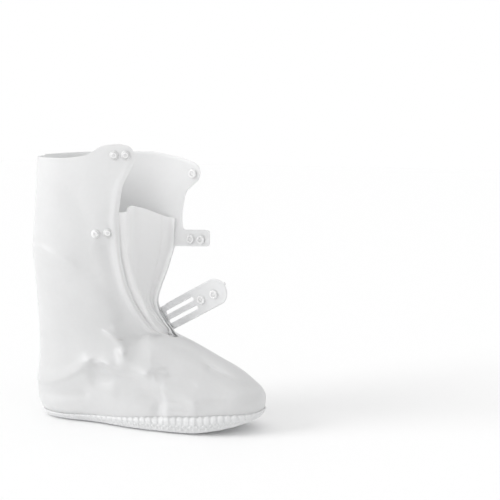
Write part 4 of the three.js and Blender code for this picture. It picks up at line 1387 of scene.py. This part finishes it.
@dataclass
class InstepStrap:
    """The slotted strap with its round end, raised rims and moulding nib."""

    form: BootForm
    place: Place
    wall: float = 2.2
    width: float = 34
    free: float = 102
    lap: float = 14
    bend: float = 14
    root: tuple[float, float] = (148, 128.5)
    rise: float = 28.6
    drift: float = -0.2
    room: float = 0.9
    lap_room: float = 1.1
    slot_width: float = 4.6
    slot_offset: float = 6
    slot_start: float = 2
    slot_end: float = 51
    nib_reach: float = 2.4
    nib_width: float = 3.4
    nib_turn: float = 12
    edge_round: float = 0.9
    rim_height: float = 0.6
    rim_inset: float = 1.4
    rim_width: float = 0.6
    rings: tuple[float, ...] = (0, 0.12, 0.35, 0.7, 1.05, 1.4, 1.8, 2.3)
    grid: float = 1.8
    end_points: int = 61
    back_points: int = 18
    slot_points: int = 13
    weld: float = 0.02
    merge: float = 1e-4
    shortest: float = 1e-9

    def axes(self) -> tuple[Array, Array, Array, Array]:
        """Where the strap starts and how it runs.

        Returns:
            The root's place and the directions along, across and out of the strap.
        """
        x, z = (np.float64(v) for v in self.root)
        rise = math.radians(self.rise)
        run = np.array([math.cos(rise), self.drift, math.sin(rise)])
        run /= np.linalg.norm(run)
        out = np.array([0, 1.0, 0]) - run[1] * run
        out /= np.linalg.norm(out)
        return self.form.wall(Side.FAR, x, z) + out * self.room, run, np.cross(run, out), out

    def outline(self, inset: float) -> Array:
        """The strap's outline in (along, across), set in by a distance.

        Args:
            inset: how far in; the nib shows only at the outline itself.

        Returns:
            Its corners in order.
        """
        half = self.width / 2
        centre, radius = self.free - half, half - inset
        turns, arc = half_circle(centre, radius, self.end_points)
        if inset == 0:
            nib = math.radians(self.nib_turn)
            spread = math.asin(self.nib_width / 2 / half)
            axis = np.array([math.cos(nib), math.sin(nib)])
            over = np.array([-axis[1], axis[0]]) * self.nib_width / 2
            tip = np.array([centre, 0]) + axis * (half + self.nib_reach)
            before, after = arc[turns < nib - spread], arc[turns > nib + spread]
            arc = np.concatenate([before, [tip - over, tip, tip + over], after])
        back = -self.lap + inset
        steps = np.arange(back, centre, self.grid)
        across = np.linspace(radius, -radius, self.back_points)[1:-1]
        ends = straight(across, back)[:, ::-1]
        return np.concatenate([
            straight(steps, -radius), arc, straight(steps[::-1], radius), ends])

    def slot(self, offset: float, outset: float) -> Array:
        """A slot's outline, set out by a distance.

        Args:
            offset: how far across the strap it lies.
            outset: how far out.

        Returns:
            Its corners in order.
        """
        half = self.slot_width / 2
        radius = half + outset
        start, end = self.slot_start + half, self.slot_end - half
        _, head = half_circle(end, radius, self.slot_points)
        _, tail = half_circle(-start, radius, self.slot_points)
        steps = np.arange(start + self.grid, end - self.grid / 2, self.grid)
        lower, upper = straight(steps, -radius), straight(steps[::-1], radius)
        return np.concatenate([lower, head, upper, -tail]) + np.array([0, offset])

    def distance(self, points: Array, outline: Array) -> Array:
        """How far points are from a closed outline.

        Args:
            points: the points.
            outline: the outline's corners in order.

        Returns:
            The distances.
        """
        nearest = np.full(len(points), np.inf)
        for start, end in zip(outline, np.roll(outline, -1, axis=0)):
            run = end - start
            t = np.clip(((points - start) @ run) / max(float(run @ run), self.shortest), 0, 1)
            nearest = np.minimum(nearest, np.linalg.norm(points - start - t[:, None] * run, axis=1))
        return nearest

    def inside(self, points: Array, outline: Array) -> Array:
        """Which points lie inside a closed outline.

        Args:
            points: the points.
            outline: the outline's corners in order.

        Returns:
            True for those inside it.
        """
        found = np.zeros(len(points), bool)
        for (x0, y0), (x1, y1) in zip(outline, np.roll(outline, -1, axis=0)):
            crosses = (y0 > points[:, 1]) != (y1 > points[:, 1])
            with np.errstate(divide="ignore", invalid="ignore"):
                at = x0 + (points[:, 1] - y0) * (x1 - x0) / (y1 - y0)
            found ^= crosses & (points[:, 0] < at)
        return found

    def plan(self) -> tuple[Array, Array, Array]:
        """The strap laid flat.

        Returns:
            Its points (along, across), their distances to the nearest edge, and its triangles.
        """
        offsets = (self.slot_offset, -self.slot_offset)
        borders = [self.outline(0), *[self.slot(offset, 0) for offset in offsets]]
        edges, points, count = [], [], 0
        for border in borders:
            edges += [(count + k, count + (k + 1) % len(border)) for k in range(len(border))]
            points.append(border)
            count += len(border)
        for ring in self.rings[1:]:
            points.append(self.outline(ring))
            points += [self.slot(offset, ring) for offset in offsets]
        along = np.arange(-self.lap, self.free, self.grid)
        across = np.arange(-self.width / 2, self.width / 2, self.grid)
        lattice = np.stack(np.meshgrid(along, across), axis=-1).reshape(-1, 2)
        gaps = np.min([self.distance(lattice, border) for border in borders], axis=0)
        lattice = lattice[gaps > self.rings[-1] + self.grid / 2]
        everything = np.concatenate([*points, lattice])
        corners = [Vector(p) for p in everything]
        made = geometry.delaunay_2d_cdt(corners, edges, [], 0, self.merge)
        flat = np.array([tuple(v) for v in made[0]])
        triangles = np.array([f for f in made[2] if len(f) == 3])
        middles = flat[triangles].mean(axis=1)
        keep = self.inside(middles, borders[0])
        for border in borders[1:]:
            keep &= ~self.inside(middles, border)
        edge = np.min([self.distance(flat, border) for border in borders], axis=0)
        return flat, edge, triangles[keep]

    def build(self, wardrobe: Wardrobe) -> None:
        """Builds and dresses the strap.

        Args:
            wardrobe: the finishes.
        """
        flat, edge, triangles = self.plan()
        root, run, across, out = self.axes()
        base = root + flat[:, :1] * run + flat[:, 1:] * across
        lapped = self.form.wall(Side.FAR, base[:, 0], base[:, 2], folded=True)
        lapped = lapped + self.lap_room * self.form.wall_out(Side.FAR, base[:, 0], base[:, 2])
        share = smooth(0, self.bend, flat[:, 0])[:, None]
        inner = lapped * (1 - share) + base * share
        rounded = 1 - np.clip(edge / self.edge_round, 0, 1)
        half = self.wall / 2 * np.sqrt(1 - rounded**2)
        rim = self.rim_height * np.exp(-(((edge - self.rim_inset) / self.rim_width) ** 2))
        rim *= smooth(0, self.edge_round, edge)
        middle = inner + out * self.wall / 2
        sheet = Sheet()
        outer_face = sheet.add(middle + out * (half + rim)[:, None])
        inner_face = sheet.add(middle - out * (half + rim)[:, None])
        order = triangles[:, ::-1]
        sheet.faces += [tuple(f) for f in outer_face[order].tolist()]
        sheet.faces += [tuple(f) for f in inner_face[triangles].tolist()]
        piece = sheet.build("slotted_strap", self.place, weld=self.weld)
        wardrobe.dress(piece, STRAP_FILM, "instep_strap")


@dataclass
class Outsole:
    """The moulded sole: plate, rounded edge, studded band and tread blocks."""

    form: BootForm
    place: Place
    lug_depth: float = 2
    plate_top: float = 5
    gap: float = 0.3
    band_wall: float = 1.8
    edge_round: float = 3
    edge_rows: int = 5
    rib_count: int = 84
    rib_rise: float = 0.95
    rib_level: float = 14
    stud_rows: tuple[tuple[float, float, float, float], ...] = (
        # shift in ribs, lowest and highest share of the band, radius
        (0, 0.52, 0.8, 2.9),
        (0.5, 0.3, 0.3, 1.9),
        (0, 0.1, 0.1, 1.7),
    )
    stud_flank: tuple[float, float] = (0.9, 0.5)
    ring_points: int = 1344
    band_rows: int = 24
    inner_rows: tuple[float, ...] = (0.72, 0.45, 0.2, 0)
    band_height: Curve = Curve((
        (-30, 9), (30, 9.5), (60, 11), (115, 15), (157, 19.5), (213, 24.5), (240, 24),
        (262, 19.5), (280, 14), (295, 9.5)))
    band_guess: float = 12
    taper_start: float = 0.66
    band_lip: float = 0.12
    lug_pitch: float = 15
    lug_length: float = 8
    lug_first: float = 12
    lug_last: float = 272
    lug_margin: float = 7
    lug_split: float = 3
    lug_root: float = 1
    lug_edge: Pairs = ((0, 0.9), (0.25, 0.3), (0.7, 0))
    lug_points: int = 5
    sharp: float = 50
    pad: tuple[float, float, float] = (92, 128, 24)

    def ring(self, share: float, out: Array | float, floor: float | None = None) -> Array:
        """A closed ring round the shell.

        Args:
            share: its height as a share of the band.
            out: how far out of the shell.
            floor: its height instead, if it is level.

        Returns:
            Its points.
        """
        t = np.arange(self.ring_points) / self.ring_points
        if floor is None:
            foot = self.plate_top
            z = self.form.settled(
                t, self.band_guess, lambda x, _: foot + share * (self.band_height(x) - foot))
        else:
            z = np.full(len(t), floor, float)
        return self.form.surface(z, t, out)

    def relief(self, share: float) -> Array:
        """Raised ribs with round tops, and two rows of studs under them.

        Args:
            share: height on the band.

        Returns:
            How far each point of the ring stands out.
        """
        t = np.arange(self.ring_points) / self.ring_points
        place, _, length = self.form.level(np.full(len(t), float(self.rib_level)), t)
        pitch = length / self.rib_count
        tall = self.band_height(place[:, 0]) - self.plate_top
        height = share * tall
        within, beyond = self.stud_flank
        standing = np.zeros(len(t))
        for shift, low, high, radius in self.stud_rows:
            across = ((t * self.rib_count + shift) % 1 - 0.5) * pitch
            up = np.maximum(0, np.maximum(low * tall - height, height - high * tall))
            stud = 1 - smooth(radius - within, radius + beyond, np.hypot(across, up))
            standing = np.maximum(standing, stud)
        return self.rib_rise * standing

    def add_tray(self, sheet: Sheet) -> None:
        """Adds the plate with its rounded edge and band.

        Args:
            sheet: the mesh being made.
        """
        outside = self.gap + self.band_wall
        rings = []
        for turn in np.linspace(0, math.pi / 2, self.edge_rows, endpoint=False):
            inset = self.edge_round * (1 - math.sin(turn))
            rise = (self.plate_top - self.lug_depth) * (1 - math.cos(turn))
            rings.append(self.ring(0, outside - inset, self.lug_depth + rise))
        for share in np.linspace(0, 1, self.band_rows):
            taper = (outside - self.band_lip) * float(smooth(self.taper_start, 1, share))
            rings.append(self.ring(share, outside - taper + self.relief(share)))
        for share in self.inner_rows:
            rings.append(self.ring(share, -self.band_lip))
        grid = sheet.add(np.array(rings))
        sheet.quads(grid, flip=True, loop=True)
        half = self.ring_points // 2
        for row, flip in ((grid[0], False), (grid[-1], True)):
            for k in range(half):
                face = [row[k], row[k + 1], row[-k - 1], row[-k] if k else row[0]]
                face = list(dict.fromkeys(int(n) for n in (face[::-1] if flip else face)))
                if len(face) > 2:
                    sheet.faces.append(tuple(face))

    def add_block(self, sheet: Sheet, low: tuple[float, float], high: tuple[float, float]) -> None:
        """Adds one tread block with eased edges, which follows the toe spring.

        Args:
            sheet: the mesh being made.
            low: its lowest corner, (x, y).
            high: its highest corner.
        """
        top = self.lug_depth + self.lug_root
        rows = []
        for z, inset in (*self.lug_edge, (top, 0)):
            corner = []
            for sx, sy in ((0, 0), (1, 0), (1, 1), (0, 1)):
                x = (low[0] + inset, high[0] - inset)[sx]
                y = (low[1] + inset, high[1] - inset)[sy]
                corner.append((x, y))
            ring = []
            for (x0, y0), (x1, y1) in zip(corner, corner[1:] + corner[:1]):
                for t in np.linspace(0, 1, self.lug_points, endpoint=False):
                    ring.append((x0 + t * (x1 - x0), y0 + t * (y1 - y0), z))
            rows.append(ring)
        block = np.array(rows)
        block[..., 2] += self.form.spring(block[..., 0], block[..., 2])
        grid = sheet.add(block)
        sheet.quads(grid, flip=True, loop=True)
        sheet.faces.append(tuple(grid[0][::-1].tolist()))
        sheet.faces.append(tuple(grid[-1].tolist()))

    def half_width(self, x: float) -> float:
        """Half-width of the shell just above the plate."""
        place = self.form.wall(Side.FAR, np.float64(x), np.float64(self.plate_top))
        return float(place[1])

    def add_tread(self, sheet: Sheet) -> None:
        """Adds the flat pad under the waist and the rows of blocks.

        Args:
            sheet: the mesh being made.
        """
        start, end, half = self.pad
        self.add_block(sheet, (start, -half), (end, half))
        count = int((self.lug_last - self.lug_first) // self.lug_pitch) + 1
        for k in range(count):
            x0 = self.lug_first + k * self.lug_pitch
            x1 = x0 + self.lug_length
            under = x1 > start and x0 < end
            inner = half + self.lug_split if under else self.lug_split / 2
            outer = min(self.half_width(x0), self.half_width(x1)) - self.lug_margin
            if outer - inner < self.lug_length:
                continue
            self.add_block(sheet, (x0, inner), (x1, outer))
            self.add_block(sheet, (x0, -outer), (x1, -inner))

    def build(self, wardrobe: Wardrobe) -> None:
        """Builds and dresses the sole.

        Args:
            wardrobe: the finishes.
        """
        sheet = Sheet()
        self.add_tray(sheet)
        self.add_tread(sheet)
        piece = sheet.build("studded_sole", self.place)
        piece.data.set_sharp_from_angle(angle=math.radians(self.sharp))
        wardrobe.dress(piece, SOLE, "outsole")


class Mate(Enum):
    """What a snap cap closes on."""

    STUD = "stud"
    SOCKET = "socket"


@dataclass(frozen=True)
class Snap:
    """One resin snap: its cap on one face of a wall and its stud or socket on the other."""

    name: str
    mate: Mate
    frame: dict
    sides: int = 40
    flange: float = 5
    weld: float = 0.01
    sharp: float = 60
    cap: Pairs = (
        (0, -3.2), (1.9, -3.2), (2, 0), (5.6, 0), (6.05, 0.25), (6.2, 0.7), (6.1, 1.15),
        (5.6, 1.7), (4.6, 2.2), (3.4, 2.55), (2.2, 2.7), (1.5, 2.66), (1.2, 2.45), (0, 2.4),
    )
    socket: Pairs = (
        (2.3, 0), (5.2, 0), (5.55, 0.2), (5.6, 1), (5.4, 1.3), (5.05, 1.4), (4.95, 2.5),
        (4.7, 2.85), (4.3, 2.98), (3.8, 2.95), (3.45, 2.7), (3.3, 1.7), (3.1, 1.3), (2.2, 1.25),
        (1.8, 1.6), (1.1, 1.85), (0.35, 1.7), (0, 1.4),
    )
    stud: Pairs = (
        (2.3, 0), (5.2, 0), (5.55, 0.2), (5.55, 0.85), (5.2, 1.2), (3.6, 1.35), (3.25, 1.6),
        (3.25, 2.2), (3.45, 2.6), (3.35, 3), (3, 3.18), (2.6, 3.2), (2.2, 2.9), (2, 1.9),
        (1.4, 1.75), (0.6, 1.95), (0, 1.9),
    )

    def axis(self) -> tuple[Vector, float, float, Vector]:
        """Where the snap sits.

        Returns:
            The direction from the mate to the cap, the two faces' distances along it, and a
            point on it.
        """
        rows = {
            part: np.array([v.co for v in self.frame["nodes"][self.node(part)].data.vertices])
            for part in ("cap", self.mate.value)
        }
        cap, mate = rows["cap"], rows[self.mate.value]
        middle, mate_middle = ((row.min(0) + row.max(0)) / 2 for row in (cap, mate))
        axis = middle - mate_middle
        axis /= np.linalg.norm(axis)
        from_axis = np.linalg.norm(np.cross(cap - middle, axis), axis=1)
        under = float((cap[from_axis > self.flange * MM] @ axis).min())
        seat = float((mate @ axis).max())
        return Vector(axis), under, seat, Vector(middle)

    def node(self, part: str) -> str:
        """The CAD node of one part."""
        return f"snap_{part}_{self.name}"

    def turned(self, name: str, profile: Pairs, base: Vector, out: Vector) -> Piece:
        """A turned piece on the snap's axis.

        Args:
            name: its name.
            profile: its (radius, height) pairs, from the wall outwards.
            base: the middle of its underside, in metres.
            out: which way it faces.

        Returns:
            The piece.
        """
        radius, height = np.array(profile, float).T
        turns = np.arange(self.sides) / self.sides * 2 * math.pi
        points = np.stack([
            radius[:, None] * np.cos(turns), radius[:, None] * np.sin(turns),
            np.repeat(height[:, None], self.sides, axis=1)], axis=-1)
        turn = np.array(Vector((0, 0, 1)).rotation_difference(out).to_matrix())
        sheet = Sheet()
        sheet.quads(sheet.add(points @ turn.T), flip=True, loop=True)
        piece = sheet.build(name, Place(base), weld=self.weld)
        piece.data.set_sharp_from_angle(angle=math.radians(self.sharp))
        return piece

    def build(self, wardrobe: Wardrobe) -> None:
        """Builds and dresses the cap and its mate.

        Args:
            wardrobe: the finishes.
        """
        axis, under, seat, point = self.axis()
        on_axis = point - axis * point.dot(axis)
        cap = self.turned(f"snap_cap.{self.name}", self.cap, on_axis + axis * under, axis)
        profile = self.stud if self.mate is Mate.STUD else self.socket
        label = f"snap_{self.mate.value}.{self.name}"
        mate = self.turned(label, profile, on_axis + axis * seat, -axis)
        wardrobe.dress(cap, RESIN, self.node("cap"))
        wardrobe.dress(mate, RESIN, self.node(self.mate.value))


# ---------------------------------------------------------------------------------------------
# Stage.


@dataclass(frozen=True)
class Lamp:
    """A large distant soft light: where it comes from, its breadth in degrees and its power."""

    name: str
    comes_from: tuple[float, float, float]
    breadth: float
    power: float

    def build(self) -> None:
        """Makes the lamp."""
        light = bpy.data.lights.new(self.name, "SUN")
        light.angle = math.radians(self.breadth)
        light.energy = self.power
        lamp = bpy.data.objects.new(self.name, light)
        lamp.location = Vector(self.comes_from)
        lamp.rotation_euler = (-lamp.location).to_track_quat("-Z", "Y").to_euler()
        bpy.context.scene.collection.objects.link(lamp)


@dataclass
class Studio:
    """Plain pale floor, soft light and the camera."""

    place: Place
    azimuth: float = 20
    elevation: float = 7
    distance: float = 1500
    lens: float = 86
    middle: tuple[float, float, float] = (137, 0, 168)
    aim_right: float = 125
    aim_up: float = 50
    sensor: float = 36
    floor_reach: float = 6000
    floor_points: int = 5
    floor_tone: float = 0.96
    floor_roughness: float = 0.9
    floor_shine: float = 0.1
    bounces: int = 20
    sky: float = 0.8
    lamps: tuple[Lamp, ...] = (
        Lamp("key_light", (-2.3, -1.5, 1.2), 35, 1.3),
        Lamp("top_light", (0.2, -0.2, 2.4), 60, 0.25),
    )

    def add_camera(self) -> None:
        """Makes the camera and sets it as the scene's."""
        a, e = math.radians(self.azimuth), math.radians(self.elevation)
        right = Vector((math.cos(a), math.sin(a), 0))
        ahead = Vector((-math.sin(a) * math.cos(e), math.cos(a) * math.cos(e), -math.sin(e)))
        up = right.cross(ahead)
        aim = Vector(self.middle) + right * self.aim_right + up * self.aim_up
        spot = aim - ahead * self.distance
        data = bpy.data.cameras.new("camera")
        data.lens = self.lens
        data.sensor_width = self.sensor
        camera = bpy.data.objects.new("camera", data)
        turn = Matrix((right, up, -ahead)).transposed().to_4x4()
        camera.matrix_world = Matrix.Translation(Vector(self.place.metres(spot))) @ turn
        bpy.context.scene.collection.objects.link(camera)
        bpy.context.scene.camera = camera

    def add_floor(self) -> None:
        """Makes the floor."""
        sheet = Sheet()
        steps = np.linspace(-self.floor_reach, self.floor_reach, self.floor_points)
        x, y = np.meshgrid(steps, steps)
        sheet.quads(sheet.add(np.stack([x, y, np.zeros_like(x)], axis=-1)), flip=True)
        floor = sheet.build("studio_floor", Place(Vector((0, 0, 0))))
        made = bpy.data.materials.new("pale_floor")
        made.use_nodes = True
        shader = made.node_tree.nodes["Principled BSDF"]
        shader.inputs["Base Color"].default_value = (*(self.floor_tone,) * 3, 1)
        shader.inputs["Roughness"].default_value = self.floor_roughness
        shader.inputs["Specular IOR Level"].default_value = self.floor_shine
        floor.data.materials.append(made)

    def add_light(self) -> None:
        """Makes the soft light from all round and the lamps."""
        world = bpy.data.worlds.new("studio")
        world.use_nodes = True
        nodes = Nodes(world.node_tree)
        sky = world.node_tree.nodes["Background"]
        bright = nodes.node("ShaderNodeBackground")
        for light, strength in ((sky, self.sky), (bright, 1.0)):
            light.inputs["Color"].default_value = (1, 1, 1, 1)
            light.inputs["Strength"].default_value = strength
        mix = nodes.node("ShaderNodeMixShader")
        nodes.link(nodes.node("ShaderNodeLightPath").outputs["Is Camera Ray"], mix.inputs[0])
        nodes.link(sky.outputs[0], mix.inputs[1])
        nodes.link(bright.outputs[0], mix.inputs[2])
        nodes.link(mix.outputs[0], world.node_tree.nodes["World Output"].inputs["Surface"])
        bpy.context.scene.world = world
        for lamp in self.lamps:
            lamp.build()

    def build(self) -> None:
        """Makes the whole stage."""
        scene = bpy.context.scene
        scene.view_settings.view_transform = "Standard"
        scene.cycles.max_bounces = self.bounces
        scene.cycles.diffuse_bounces = self.bounces
        scene.cycles.transmission_bounces = self.bounces
        self.add_floor()
        self.add_light()
        self.add_camera()
        LOG.info("studio ready")


SNAPS = (
    ("near_top_1", Mate.STUD), ("near_top_2", Mate.STUD), ("near_mid_1", Mate.STUD),
    ("near_mid_2", Mate.STUD), ("ear", Mate.SOCKET), ("tab_1", Mate.SOCKET),
    ("tab_2", Mate.SOCKET), ("strap_1", Mate.SOCKET), ("strap_2", Mate.SOCKET),
)


def main() -> None:
    """Builds every piece in order."""
    logging.basicConfig(level=logging.INFO, format="%(name)s: %(message)s")
    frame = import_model()
    place = Place.from_record(frame["record"])
    form = BootForm()
    Studio(place).build()
    wardrobe = Wardrobe.make((FILM, PAINTED_LIGHT_GUSSET_FILM, STRAP_FILM, SOLE, RESIN))
    Upper(form, place).build(wardrobe)
    Gusset(form, place).build(wardrobe)
    InstepStrap(form, place).build(wardrobe)
    Outsole(form, place).build(wardrobe)
    for name, mate in SNAPS:
        Snap(name, mate, frame).build(wardrobe)


if __name__ == "__main__":
    main()
